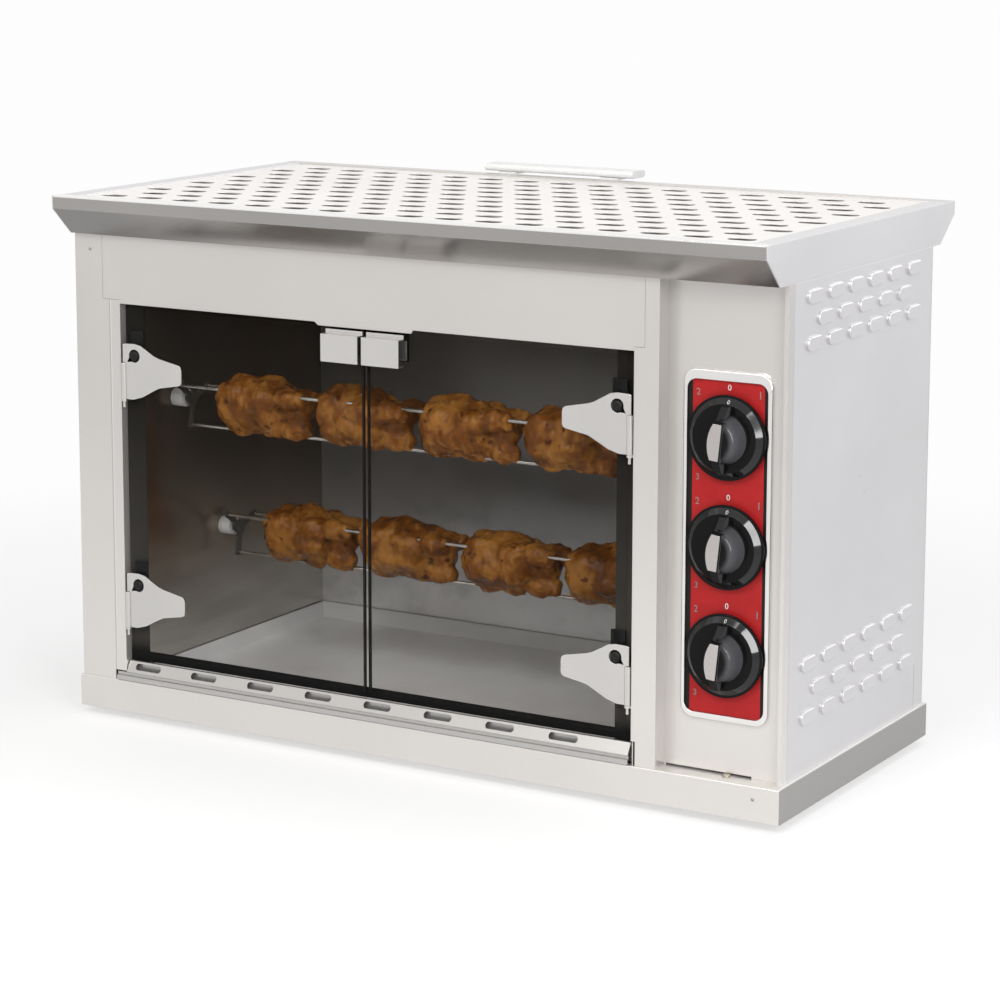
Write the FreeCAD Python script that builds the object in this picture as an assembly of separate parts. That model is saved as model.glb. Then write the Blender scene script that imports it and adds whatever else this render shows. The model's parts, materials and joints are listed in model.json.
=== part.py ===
import FreeCAD, Part
import math
import os

# Units are millimetres. X runs across the front, Y runs to the rear, Z runs up.
# The origin is the middle of the overall box on the plane the feet stand on.

V = FreeCAD.Vector

# Base and feet
base_width = 840.0
base_depth = 362.0
base_height = 35.0
base_sheet = 1.5
base_flange = 62.0
foot_height = 9.0
foot_diameter = 18.0
foot_inset_x = 58.0
foot_inset_y = 40.0

# Case made of folded sheet on the base
sheet = 1.2
seam = 0.3
body_inset = 4.0
body_setback = 0.6
head_height = 73.0
wrap_depth = 25.0
left_post_width = 58.0
post_head_width = 35.5
door_opening_width = 617.0
door_opening_height = 412.0
seam_above_opening = 4.0
pillar_width = 27.0
pillar_head_width = 15.5
panel_recess = 22.0
corner_bead_width = 4.6
corner_bead_recess = 12.0
catch_tab_width = 112.0
catch_tab_drop = 3.5

# Cornice and perforated top
cornice_height = 42.0
lip_height = 13.5
front_flare = 36.7
front_slant_foot = 7.1
rear_flare = 52.0
rear_slant_foot = 15.3
rim_width = 17.0
end_rim_width = 22.0
grille_overlap = 6.0
vent_length = 30.0
vent_width = 18.0
vent_pitch_x = 46.0
vent_pitch_y = 39.2
vent_margin_x = 10.0
vent_margin_front = 28.0
vent_margin_rear = 33.0
spacer_reach = 31.0
spacer_thickness = 8.0
spacer_length = 190.0
spacer_offset_x = -60.0

# Side louvres of the control compartment
louvre_length = 33.0
louvre_height = 14.0
louvre_rise = 2.8
louvre_pitch_y = 48.0
louvre_first_y = 69.0
louvre_last_gap = 40.0
upper_louvre_drop = 39.0
upper_louvre_pitch = 22.7
lower_louvre_rise = 82.7
lower_louvre_pitch = 26.5

# Roasting cavity
frame_overlap = 23.5
frame_setback = 11.0
rear_air_gap = 10.3
ceiling_rise = 23.0
tray_slot_height = 22.0
bridge_height = 11.0

# Glass doors
glass_thickness = 4.0
glass_setback = 2.0
glass_edge_gap = 4.0
glass_bottom_gap = 31.0
door_gap = 4.0
hinge_axis_gap = 4.0
pin_radius = 1.6
running_gap = 0.05
knuckle_wall = 1.5
plate_thickness = 1.5
plate_length = 75.0
plate_height = 60.0
upper_plate_drop = 102.0
lower_plate_rise = 60.5
handle_width = 44.5
handle_height = 28.5
handle_standoff = 11.0
handle_drop = 6.5
handle_sheet = 1.2
handle_foot = 4.0
magnet_radius = 6.0

# Drip tray
tray_sheet = 1.0
tray_rear_gap = 2.5
tray_side_gap = 2.0
tray_wall = 19.5
tray_slot_length = 33.0
tray_slot_width = 6.5
tray_slot_pitch = 73.2
tray_slot_margin = 26.5
tray_slot_rise = 16.4

# Spits and their drive
upper_axis_back = 66.0
upper_axis_drop = 107.5
axis_step_back = 84.0
gear_module = 2.0
spit_teeth = 44
motor_teeth = 45
gear_width = 8.0
spit_journal = 5.0
drive_shaft = 6.0
tine_radius = 2.0
tine_count = 3
tine_circle = 28.0
tine_turn = -98.0
collar_radius = 9.8
collar_length = 10.4
spider_offset = 6.3
square_end = 8.0
bird_length = 104.0
bird_girth = 75.0
bird_gap_left = 39.0
bird_gap_right = 1.85
birds_per_spit = 4

# Gas controls
knob_count = 3
knob_pitch = 106.7
knob_edge_gap = 64.5
knob_centre_drop = 15.5
knob_flange = 83.0
knob_flange_depth = 7.0
knob_rim = 2.5
knob_lip = 2.5
knob_bevel = 5.5
knob_depth = 28.5
knob_travel = 3.5
knob_rest_turn = 6.0
hub_radius = 25.0
hub_top_radius = 20.0
hub_rounding = 11.0
grip_right = 7.5
grip_left = 8.4
grip_bow = 4.4
grip_height = 38.0
fin_width = 8.0
fin_end_height = 6.0
bezel_width = 94.5
bezel_margin = 65.8
bezel_drop = 1.5
bezel_rim = 4.5
bezel_offset_x = -1.0
bezel_proud = 4.0
label_sheet = 1.0
label_margin = 57.55
label_drop = 3.25
spindle_radius = 4.0
plug_radius = 6.0
rail_side = 18.0
cable_offset = 55.0

# Infrared burners over the cavity
burner_count = 3
burner_gap = 20.0
burner_end_gap = 7.5
burner_depth = 180.0
burner_height = 34.0
burner_back = 70.0
ceramic_thickness = 8.0
gas_pipe_radius = 3.5

# Levels and lines that follow from the sizes above
half_base = base_width / 2
half_body = half_base - body_inset
base_top = foot_height + base_height
opening_top = base_top + door_opening_height
body_top = opening_top + head_height
case_top = body_top + cornice_height
overall_depth = front_flare + base_depth + rear_flare + spacer_reach
front = front_flare - overall_depth / 2
rear = front + base_depth
face = front + body_setback
body_rear = rear - body_inset
cornice_front_y = front - front_flare
cornice_rear_y = rear + rear_flare
open_left = -half_body + left_post_width
open_right = open_left + door_opening_width
open_middle = (open_left + open_right) / 2
post_seam = opening_top + seam_above_opening
pillar_right = open_right + pillar_width
panel_face = front + panel_recess
frame_y = front + frame_setback
cavity_left = open_left + frame_overlap
cavity_right = open_right - frame_overlap
cavity_middle = (cavity_left + cavity_right) / 2
cavity_front = frame_y + sheet
cavity_rear = body_rear - sheet - rear_air_gap
ceiling_z = opening_top + ceiling_rise
bridge_bottom = base_top + tray_slot_height
bridge_top = bridge_bottom + bridge_height

os.makedirs("parts", exist_ok=True)


# Shapes used again and again

def box(x0, x1, y0, y1, z0, z1):
    return Part.makeBox(x1 - x0, y1 - y0, z1 - z0, V(x0, y0, z0))


def rod(start, end, radius):
    a = V(*start)
    b = V(*end)
    return Part.makeCylinder(radius, (b - a).Length, a, b - a)


def prism(corners, move):
    wire = Part.makePolygon(corners + [corners[0]])
    return Part.Face(wire).extrude(move)


def prism_x(points, x0, x1):
    return prism([V(x0, y, z) for y, z in points], V(x1 - x0, 0, 0))


def prism_y(points, y0, y1):
    return prism([V(x, y0, z) for x, z in points], V(0, y1 - y0, 0))


def prism_z(points, z0, z1):
    return prism([V(x, y, z0) for x, y in points], V(0, 0, z1 - z0))


def folded(path, thickness):
    """Outline of a folded sheet: the path is its outer line, the thickness is added on its left."""
    normals = []
    for (ax, ay), (bx, by) in zip(path, path[1:]):
        length = math.hypot(bx - ax, by - ay)
        normals.append(((ay - by) / length, (bx - ax) / length))
    inner = []
    for i, (px, py) in enumerate(path):
        before = normals[max(i - 1, 0)]
        after = normals[min(i, len(normals) - 1)]
        share = thickness / (1 + before[0] * after[0] + before[1] * after[1])
        inner.append((px + share * (before[0] + after[0]), py + share * (before[1] + after[1])))
    return path + inner[::-1]


def rounded(block, radius, way):
    """The block with its four edges along one axis rounded."""
    edges = [e for e in block.Edges if abs(e.tangentAt(e.FirstParameter).dot(way)) > 0.99]
    return block.makeFillet(radius, edges)


def obround(centre, along, move, length, width):
    """Prism with two straight sides and two round ends."""
    across = move.cross(along)
    across.normalize()
    side = across * (width / 2)
    run = along * ((length - width) / 2)
    nose = along * (length / 2)
    a, b, c, d = centre - run + side, centre + run + side, centre + run - side, centre - run - side
    edges = [Part.LineSegment(a, b), Part.Arc(b, centre + nose, c), Part.LineSegment(c, d),
             Part.Arc(d, centre - nose, a)]
    return Part.Face(Part.Wire([e.toShape() for e in edges])).extrude(move)


def moved(shape, x, y, z):
    copy = shape.copy()
    copy.translate(V(x, y, z))
    return copy


X = V(1, 0, 0)
Y = V(0, 1, 0)
Z = V(0, 0, 1)


def joined(shapes):
    return shapes[0].multiFuse(shapes[1:]).removeSplitter()


def save(name, shapes):
    if not isinstance(shapes, list):
        shapes = [shapes]
    solids = []
    for shape in shapes:
        solids += shape.Solids
    whole = solids[0] if len(solids) == 1 else Part.makeCompound(solids)
    whole.exportStep("parts/" + name + ".step")


# Base: an upturned tray with an inward flange that the feet are screwed to

plinth = box(-half_base, half_base, front, rear, foot_height, base_top)
bend = [e for e in plinth.Edges if e.BoundBox.ZMin > base_top - 0.1]
plinth = plinth.makeFillet(1.2, bend)
hollow = box(-half_base + base_sheet, half_base - base_sheet, front + base_sheet, rear - base_sheet,
             foot_height + base_sheet, base_top - base_sheet)
well = box(-half_base + base_flange, half_base - base_flange, front + base_flange, rear - base_flange,
           foot_height - 1, foot_height + base_sheet + 1)
save("base_plinth", plinth.cut(hollow).cut(well))

feet = []
for sx in (-1, 1):
    for fy in (front + foot_inset_y, rear - foot_inset_y):
        foot = Part.makeCylinder(foot_diameter / 2, foot_height, V(sx * (half_base - foot_inset_x), fy, 0))
        feet.append(foot.makeChamfer(1.0, [e for e in foot.Edges if e.BoundBox.ZMax < 0.1]))
save("feet", feet)

# Left front post: wraps round the corner, narrows above the door and clears the tray's lip

side_y = front + wrap_depth
post_low = prism_z(folded([(-half_body, side_y), (-half_body, face), (open_left, face),
                           (open_left, frame_y - seam)], sheet), base_top, post_seam - seam)
post_high = prism_z(folded([(-half_body, side_y), (-half_body, face),
                            (-half_body + post_head_width, face)], sheet), base_top, body_top)
lip_notch = box(open_left - 14.5, open_left + 1, front - 5, face + sheet + 1.5, base_top - 1,
                base_top + 10.8)
save("left_front_post", joined([post_low, post_high]).cut(lip_notch))

# Right front post: stands proud of the control panel

pillar_low = prism_z(folded([(open_right, frame_y - seam), (open_right, face), (pillar_right, face),
                             (pillar_right, panel_face)], sheet), base_top, post_seam - seam)
pillar_high = prism_z(folded([(pillar_right - pillar_head_width, face), (pillar_right, face),
                              (pillar_right, panel_face)], sheet), base_top, body_top)
end_notch = box(open_right - 1, open_right + 4.5, front - 5, face + sheet + 1.5, base_top - 1,
                base_top + 25)
save("right_front_post", joined([pillar_low, pillar_high]).cut(end_notch))

# Lintel over the doors with the tab that hides the catch

head_left = -half_body + post_head_width + seam
head_right = pillar_right - pillar_head_width - seam
tab_left = open_middle - catch_tab_width / 2
tab_right = open_middle + catch_tab_width / 2
tab_z = opening_top - catch_tab_drop
lintel_outline = [(head_left, body_top), (head_left, post_seam), (open_left, post_seam),
                  (open_left, opening_top),
                  (tab_left - 4, opening_top), (tab_left, tab_z), (tab_right, tab_z),
                  (tab_right + 2, opening_top), (open_right, opening_top), (open_right, post_seam),
                  (head_right, post_seam), (head_right, body_top)]
lintel = joined([prism_y(lintel_outline, face, face + sheet),
                 box(head_left, head_right, face, face + 14, body_top - sheet, body_top),
                 box(open_left, tab_left - 4, face, frame_y - seam, opening_top, opening_top + sheet),
                 box(tab_right + 2, open_right, face, frame_y - seam, opening_top, opening_top + sheet)])
save("front_lintel", lintel)

# Control panel, recessed behind the pillar, with a raised bead where it wraps round the right corner

panel_left = pillar_right - sheet - 8
bead_left = half_body - corner_bead_width
bead_front = front + corner_bead_recess
panel = prism_z(folded([(panel_left, panel_face), (bead_left, panel_face), (bead_left, bead_front),
                        (half_body, bead_front), (half_body, side_y)], sheet), base_top, body_top)
knob_centre_x = half_body - knob_edge_gap
knob_centre_z = (base_top + body_top) / 2 - knob_centre_drop
knob_span = (knob_count - 1) * knob_pitch
knob_heights = [knob_centre_z + knob_span / 2 - i * knob_pitch for i in range(knob_count)]
for z in knob_heights:
    panel = panel.cut(rod((knob_centre_x, panel_face - 5, z), (knob_centre_x, panel_face + 5, z),
                          plug_radius + 0.5))
slit = box(pillar_right + 1, pillar_right + 94, panel_face - 1, panel_face + sheet + 1, base_top - 1,
           base_top + 2)
save("control_panel", panel.cut(slit))

# Raised bezel and the label plate inside it

bezel_x = knob_centre_x + bezel_offset_x
bezel_z = knob_centre_z - bezel_drop
bezel_height = knob_span + 2 * bezel_margin
label_z = knob_centre_z - label_drop
label_height = knob_span + 2 * label_margin
label_half = bezel_width / 2 - bezel_rim


def panel_block(half_width, middle_z, height, radius, y0, y1):
    block = box(bezel_x - half_width, bezel_x + half_width, y0, y1, middle_z - height / 2,
                middle_z + height / 2)
    return rounded(block, radius, Y)


bezel = panel_block(bezel_width / 2, bezel_z, bezel_height, 14.0, panel_face - bezel_proud, panel_face)
bezel = bezel.makeFillet(2.0, [e for e in bezel.Edges if e.BoundBox.YMax < panel_face - bezel_proud + 0.1])
window = panel_block(label_half, label_z, label_height, 10.0, panel_face - bezel_proud - 1, panel_face + 1)
save("control_bezel", bezel.cut(window))

label = panel_block(label_half - 0.2, label_z, label_height - 0.4, 9.8, panel_face - label_sheet,
                    panel_face)
for z in knob_heights:
    label = label.cut(rod((knob_centre_x, panel_face - 5, z), (knob_centre_x, panel_face + 5, z),
                          plug_radius + 0.5))
save("label_plate", label)

# Side panels; the right one carries the pressed louvres of the control compartment

side_front = side_y + seam
side_rear = body_rear - sheet - 0.2
save("left_side_panel", box(-half_body, -half_body + sheet, side_front, side_rear, base_top, body_top))


louvre_wall = 1.1
louvre = obround(V(half_body - sheet, 0, 0), Y, X * (sheet + louvre_rise), louvre_length, louvre_height)
louvre = louvre.makeFillet(1.3,
                           [e for e in louvre.Edges if e.BoundBox.XMin > half_body + louvre_rise - 0.1])
core_reach = sheet + louvre_rise - louvre_wall
core = obround(V(half_body - sheet, 0, 0), Y, X * core_reach, louvre_length - 2 * louvre_wall,
               louvre_height - 2 * louvre_wall)
slot = box(half_body + 0.1, half_body + louvre_rise - louvre_wall, -louvre_length / 3, louvre_length / 3,
           -louvre_height / 2 - 1, 0)
core = core.fuse(slot)

right_side = box(half_body - sheet, half_body, side_front, side_rear, base_top, body_top)
louvre_columns = int((side_rear - louvre_last_gap - front - louvre_first_y) / louvre_pitch_y) + 1
places = []
for middle, pitch in ((body_top - upper_louvre_drop, upper_louvre_pitch),
                      (base_top + lower_louvre_rise, lower_louvre_pitch)):
    for row in (-1, 0, 1):
        inner = row == 0
        for i in range(louvre_columns - inner):
            places.append((0, front + louvre_first_y + (i + inner / 2) * louvre_pitch_y,
                           middle + row * pitch))
right_side = right_side.multiFuse([moved(louvre, *place) for place in places])
right_side = right_side.cut(Part.makeCompound([moved(core, *place) for place in places]))
corner_slit = box(half_body - sheet - 1, half_body + 1, side_rear - 22, side_rear - 21.2, base_top - 1,
                  base_top + 47)
save("right_side_panel", right_side.cut(corner_slit))

# Rear panel with vents, the gas inlet hole and the cable hole

inlet_z = base_top + 45
cable_x = knob_centre_x - cable_offset
rear_panel = box(-half_body, half_body, body_rear - sheet, body_rear, base_top, body_top)
rear_cuts = [rod((knob_centre_x, body_rear - 5, inlet_z), (knob_centre_x, body_rear + 5, inlet_z), 9.0),
             rod((cable_x, body_rear - 5, inlet_z), (cable_x, body_rear + 5, inlet_z), 6.3)]
for zc in (base_top + 120, body_top - 60):
    for row in range(4):
        centre = V(knob_centre_x - 20, body_rear - 5, zc + row * 12)
        rear_cuts.append(obround(centre, X, Y * 10, 60.0, 5.0))
save("rear_panel", rear_panel.cut(Part.makeCompound(rear_cuts)))

# Cornice: flared front and rear profiles between flat end plates

lip_z = case_top - lip_height
end_in = half_body - sheet
front_path = [(cornice_front_y + rim_width, case_top), (cornice_front_y, case_top),
              (cornice_front_y, lip_z),
              (front - front_slant_foot, body_top), (panel_face + 3, body_top)]
rear_path = [(rear - 18, body_top), (rear + rear_slant_foot, body_top), (cornice_rear_y, lip_z),
             (cornice_rear_y, case_top), (cornice_rear_y - rim_width, case_top)]
save("cornice_front", prism_x(folded(front_path, sheet), -end_in + seam, end_in - seam))
save("cornice_rear", prism_x(folded(rear_path, sheet), -end_in + seam, end_in - seam))

end_outline = [(front - front_slant_foot, body_top), (cornice_front_y, lip_z), (cornice_front_y, case_top),
               (cornice_rear_y, case_top), (cornice_rear_y, lip_z), (rear + rear_slant_foot, body_top)]
rim_front_y = cornice_front_y + rim_width + seam
rim_rear_y = cornice_rear_y - rim_width - seam
for name, sx in (("cornice_end_left", -1), ("cornice_end_right", 1)):
    plate_x = sorted((sx * end_in, sx * half_body))
    rim_x = sorted((sx * (half_body - end_rim_width), sx * half_body))
    end = joined([prism_x(end_outline, plate_x[0], plate_x[1]),
                  box(rim_x[0], rim_x[1], rim_front_y, rim_rear_y, case_top - sheet, case_top)])
    save(name, end)

# Perforated top, laid under the rims, with staggered rows of oblong vents

grille_x = half_body - end_rim_width + grille_overlap
grille_y0 = cornice_front_y + rim_width - grille_overlap
grille_y1 = cornice_rear_y - rim_width + grille_overlap
grille_z = case_top - sheet
grille = box(-grille_x, grille_x, grille_y0, grille_y1, grille_z - sheet, grille_z)
vent = obround(V(0, 0, grille_z - sheet - 1), X, Z * (sheet + 2), vent_length, vent_width)
field_x = half_body - end_rim_width - vent_margin_x - vent_length / 2
field_y0 = cornice_front_y + rim_width + vent_margin_front
field_y1 = cornice_rear_y - rim_width - vent_margin_rear
columns = int(2 * field_x / vent_pitch_x) + 1
rows = int((field_y1 - field_y0) / vent_pitch_y) + 1
vents = []
for j in range(rows):
    count = columns - j % 2
    for i in range(count):
        vents.append(moved(vent, (i - (count - 1) / 2) * vent_pitch_x, field_y0 + j * vent_pitch_y, 0))
save("top_grille", grille.cut(Part.makeCompound(vents)))

# Rear spacer: a flat bar on two angle brackets that keeps the top off a wall

bar_z = case_top + 2
bar_y = cornice_rear_y
bar = obround(V(spacer_offset_x - spacer_length / 2, bar_y + spacer_reach / 2 + 0.5,
                bar_z + spacer_thickness / 2),
              Y, X * spacer_length, spacer_reach - 1, spacer_thickness)
spacer = [bar]
for sx in (-1, 1):
    xc = spacer_offset_x + sx * (spacer_length / 2 - 30)
    leg = folded([(bar_y, lip_z + 2), (bar_y, bar_z), (bar_y + spacer_reach - 6, bar_z)], -2.0)
    spacer.append(prism_x(leg, xc - 12, xc + 12))
save("rear_spacer", joined(spacer))

# Inner frame behind the doors: two side strips, a head and the bridge over the tray slot

frame_top = body_top - 20
inner_frame = box(open_left, open_right, frame_y, frame_y + sheet, base_top, frame_top)
inner_frame = inner_frame.cut(box(cavity_left, cavity_right, frame_y - 1, frame_y + 3, bridge_top,
                                  opening_top))
inner_frame = inner_frame.cut(box(cavity_left, cavity_right, frame_y - 1, frame_y + 3, base_top - 1,
                                  bridge_bottom))
handle_top = tab_z - handle_drop
tongue = box(open_middle - handle_width - 2, open_middle + handle_width + 2, frame_y, frame_y + sheet,
             handle_top - handle_height + 4, opening_top + 1)
save("inner_frame", joined([inner_frame, tongue]))

# Cavity liner: two side walls, rear wall and ceiling

upper_axis = (front + upper_axis_back, opening_top - upper_axis_drop)
centre_distance = (spit_teeth + motor_teeth) * gear_module
axis_drop = math.sqrt(centre_distance ** 2 - axis_step_back ** 2)
lower_axis = (upper_axis[0] + axis_step_back, upper_axis[1] - axis_drop)
motor_axis = ((upper_axis[0] + lower_axis[0]) / 2, (upper_axis[1] + lower_axis[1]) / 2)

liner_left = box(cavity_left - sheet, cavity_left, cavity_front, cavity_rear + sheet, base_top, ceiling_z)
liner_right = box(cavity_right, cavity_right + sheet, cavity_front, cavity_rear + sheet, base_top,
                  ceiling_z)
left_sleeve = 6.9
right_sleeve = 8.0
for y, z in (upper_axis, lower_axis):
    liner_left = liner_left.cut(rod((cavity_left - 5, y, z), (cavity_left + 5, y, z), left_sleeve + 0.1))
    liner_right = liner_right.cut(rod((cavity_right - 5, y, z), (cavity_right + 5, y, z),
                                      right_sleeve + 0.1))
save("liner_left", liner_left)
save("liner_right", liner_right)
save("liner_back", box(cavity_left, cavity_right, cavity_rear, cavity_rear + sheet, base_top, ceiling_z))

burner_pitch = (cavity_right - cavity_left - 2 * burner_end_gap) / burner_count
burner_width = burner_pitch - burner_gap
burner_x = [cavity_middle + (i - (burner_count - 1) / 2) * burner_pitch for i in range(burner_count)]
burner_y0 = front + burner_back
burner_y1 = burner_y0 + burner_depth
ceiling = box(cavity_left - 20, cavity_right + sheet, cavity_front, cavity_rear + sheet, ceiling_z,
              ceiling_z + sheet)
for xc in burner_x:
    ceiling = ceiling.cut(box(xc - burner_width / 2 + 9, xc + burner_width / 2 - 9, burner_y0 + 9,
                              burner_y1 - 9,
                              ceiling_z - 1, ceiling_z + 3))
    ceiling = ceiling.cut(obround(V(xc, burner_y1 + 40, ceiling_z - 1), X, Z * 4, burner_width - 30, 20.0))
save("liner_ceiling", ceiling)

# Burner housings open at the bottom, each with its ceramic plate

housings = []
ceramics = []
burner_z = ceiling_z + sheet
pipe_step = 2 * gas_pipe_radius + 1.5
pipe_levels = [burner_z + ceramic_thickness + gas_pipe_radius + 0.5 + pipe_step * i for i in range(burner_count)]
for i, xc in enumerate(burner_x[::-1]):
    shell = box(xc - burner_width / 2, xc + burner_width / 2, burner_y0, burner_y1, burner_z,
                burner_z + burner_height)
    inside = box(xc - burner_width / 2 + 1, xc + burner_width / 2 - 1, burner_y0 + 1, burner_y1 - 1,
                 burner_z - 1, burner_z + burner_height - 1)
    inlet = rod((xc, burner_y0 - 5, pipe_levels[i]), (xc, burner_y0 + 5, pipe_levels[i]),
                gas_pipe_radius + 0.1)
    housings.append(shell.cut(inside).cut(inlet))
    ceramics.append(box(xc - burner_width / 2 + 1.2, xc + burner_width / 2 - 1.2, burner_y0 + 1.2,
                        burner_y1 - 1.2,
                        burner_z, burner_z + ceramic_thickness))
save("burner_housings", housings)
save("burner_ceramics", ceramics)

# Gas rail with its supply pipe, taps and burner pipes in the control compartment

rail_y = panel_face + sheet + 42.8
rail = box(knob_centre_x - rail_side / 2, knob_centre_x + rail_side / 2, rail_y, rail_y + rail_side,
           inlet_z - 15, knob_heights[0] + 30)
supply = rod((knob_centre_x, rail_y + rail_side - 1, inlet_z), (knob_centre_x, body_rear, inlet_z), 8.0)
save("gas_manifold", joined([rail, supply]))

hexagon = [(knob_centre_x + 15.6 * math.cos(math.radians(60 * i)),
            inlet_z + 15.6 * math.sin(math.radians(60 * i)))
           for i in range(6)]
inlet = joined([prism_y(hexagon, body_rear, body_rear + 9),
                rod((knob_centre_x, body_rear, inlet_z), (knob_centre_x, body_rear + 34, inlet_z), 10.5)])
save("gas_inlet",
     inlet.cut(rod((knob_centre_x, body_rear - 1, inlet_z), (knob_centre_x, body_rear + 35, inlet_z), 6.5)))

valve_front = panel_face + sheet
plug_back = valve_front + 23
spindle_back = panel_face + 30
pipe_y = front + 50
valves = []
pipes = []
for i, z in enumerate(knob_heights):
    body = joined([box(knob_centre_x - 13, knob_centre_x + 13, valve_front + 7, rail_y, z - 15, z + 15),
                   rod((knob_centre_x, valve_front, z), (knob_centre_x, valve_front + 8, z), 10.0)])
    body = body.cut(rod((knob_centre_x, valve_front - 1, z), (knob_centre_x, plug_back + 0.3, z),
                        plug_radius + running_gap))
    body = body.cut(rod((knob_centre_x, valve_front - 1, z), (knob_centre_x, spindle_back + 8, z),
                        spindle_radius + 0.3))
    valves.append(body)
    level = pipe_levels[burner_count - 1 - i % burner_count]
    end_x = burner_x[i % burner_count]
    column_x = knob_centre_x - 19 - 11 * i
    bends = [(knob_centre_x - 13, pipe_y, z), (column_x, pipe_y, z), (column_x, pipe_y, level),
             (end_x, pipe_y, level), (end_x, burner_y0 + 6, level)]
    legs = [rod(a, b, gas_pipe_radius) for a, b in zip(bends, bends[1:])]
    elbows = [Part.makeSphere(gas_pipe_radius, V(*p)) for p in bends[1:-1]]
    pipes.append(joined(legs + elbows))
save("gas_valves", valves)
save("gas_pipes", pipes)

gland = joined([rod((cable_x, body_rear - 8, inlet_z), (cable_x, body_rear + 1, inlet_z), 6.0),
                rod((cable_x, body_rear, inlet_z), (cable_x, body_rear + 5, inlet_z), 11.0),
                rod((cable_x, body_rear + 4, inlet_z), (cable_x, body_rear + 15, inlet_z), 8.5),
                rod((cable_x, body_rear - sheet - 5, inlet_z), (cable_x, body_rear - sheet, inlet_z), 9.5)])
save("cable_gland",
     gland.cut(rod((cable_x, body_rear - 9, inlet_z), (cable_x, body_rear + 16, inlet_z), 3.8)))

# Screws that show: one on the left post, one on the base front and one on the base top

screws = []
for x, y, z, radius in ((-half_body + 20, face, body_top - 17, 1.6),
                        (half_base - 28, front, foot_height + 22, 1.6)):
    head = Part.makeCylinder(radius, 1.0, V(x, y, z), V(0, -1, 0))
    screws.append(head.makeFillet(0.6, [e for e in head.Edges if e.BoundBox.YMax < y - 0.9]))
head = Part.makeCylinder(4.0, 2.0, V(knob_centre_x + 4, panel_face - 4.5, base_top))
screws.append(head.makeFillet(1.0, [e for e in head.Edges if e.BoundBox.ZMin > base_top + 1.9]))
save("case_screws", screws)

# Knobs with their spindles, metal faces and the tap plugs that they turn

flange_back = panel_face - label_sheet - knob_travel - 1.0
flange_front = flange_back - knob_flange_depth
knob_front = flange_back - knob_depth
cone_radius = knob_flange / 2 - knob_lip
face_radius = cone_radius - knob_bevel
half_height = grip_height / 2


def grip_block(inset, y0, y1):
    """Upright grip with a straight right side and a bowed left side."""
    right = grip_right - inset
    top = half_height - inset
    corner = grip_left - grip_bow - inset
    sides = [Part.makeLine(V(-corner, y0, -top), V(right, y0, -top)),
             Part.makeLine(V(right, y0, -top), V(right, y0, top)),
             Part.makeLine(V(right, y0, top), V(-corner, y0, top)),
             Part.Arc(V(-corner, y0, top), V(-grip_left + inset, y0, 0), V(-corner, y0, -top)).toShape()]
    return Part.Face(Part.Wire(sides)).extrude(V(0, y1 - y0, 0))


flange = joined([Part.makeCylinder(knob_flange / 2, knob_rim, V(0, flange_back, 0), V(0, -1, 0)),
                 Part.makeCone(cone_radius, face_radius, knob_flange_depth - knob_rim,
                               V(0, flange_back - knob_rim, 0), V(0, -1, 0))])
hub_front = knob_front + 1.5
hub = Part.makeCone(hub_radius, hub_top_radius, flange_front + 1 - hub_front, V(0, flange_front + 1, 0),
                    V(0, -1, 0))
hub = hub.makeFillet(hub_rounding, [e for e in hub.Edges if e.BoundBox.YMax < hub_front + 0.1])
hub = hub.common(box(0, hub_radius + 1, hub_front - 1, flange_front + 1, -hub_radius - 1, hub_radius + 1))
fins = []
for s in (-1, 1):
    outline = [(flange_front + 1, s * 10), (knob_front + 6, s * 10), (knob_front + 6.5, s * half_height),
               (flange_front - fin_end_height, s * (face_radius - 1)),
               (flange_front + 1, s * (face_radius - 1))]
    fins.append(prism_x(outline, -fin_width / 2, fin_width / 2))
knob = joined([flange, hub, grip_block(0, knob_front, flange_front + 1)] + fins)
knob = knob.cut(grip_block(1.2, knob_front - 1, knob_front + 0.8))
knob = joined([knob, rod((0, flange_back - 1, 0), (0, spindle_back, 0), spindle_radius)])
metal = grip_block(1.3, knob_front - 0.4, knob_front + 0.8)
knob.rotate(V(0, 0, 0), Y, knob_rest_turn)
metal.rotate(V(0, 0, 0), Y, knob_rest_turn)
plug = rod((0, valve_front + 2, 0), (0, plug_back, 0), plug_radius)
plug = plug.cut(rod((0, valve_front, 0), (0, plug_back + 1, 0), spindle_radius + running_gap))
for i, z in enumerate(knob_heights):
    save("knob_%d" % (i + 1), moved(knob, knob_centre_x, 0, z))
    save("knob_%d_face" % (i + 1), moved(metal, knob_centre_x, 0, z))
    save("knob_%d_tap_plug" % (i + 1), moved(plug, knob_centre_x, 0, z))

# Hinge brackets fixed to the jambs, each an ear with its pin

pin_y = face + 0.1
glass_front = front + glass_setback
glass_back = glass_front + glass_thickness
knuckle_radius = pin_radius + running_gap + knuckle_wall
knuckle_height = plate_height - 21
plate_levels = [opening_top - upper_plate_drop, base_top + lower_plate_rise]
ear = 2.4
brackets = []
for side, jamb in ((1, open_left), (-1, open_right)):
    axis_x = jamb + side * hinge_axis_gap
    for z in plate_levels:
        ear_x = sorted((jamb, jamb + side * (hinge_axis_gap + 2.4)))
        leaf_x = sorted((jamb, jamb + side * 1.4))
        bracket = joined([Part.makeCylinder(knuckle_radius, ear, V(axis_x, pin_y, z - ear - 0.2)),
                          box(ear_x[0], ear_x[1], pin_y, frame_y - seam, z - ear - 0.2, z - 0.2),
                          box(leaf_x[0], leaf_x[1], pin_y + 4.2, frame_y - seam, z - ear - 0.2, z + 22),
                          Part.makeCylinder(pin_radius, knuckle_height + 8, V(axis_x, pin_y, z - 9))])
        brackets.append(bracket)
save("hinge_brackets", brackets)

# Doors: glass, clamp plates with rolled knuckles, back plates with screws, and folded handles

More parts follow.
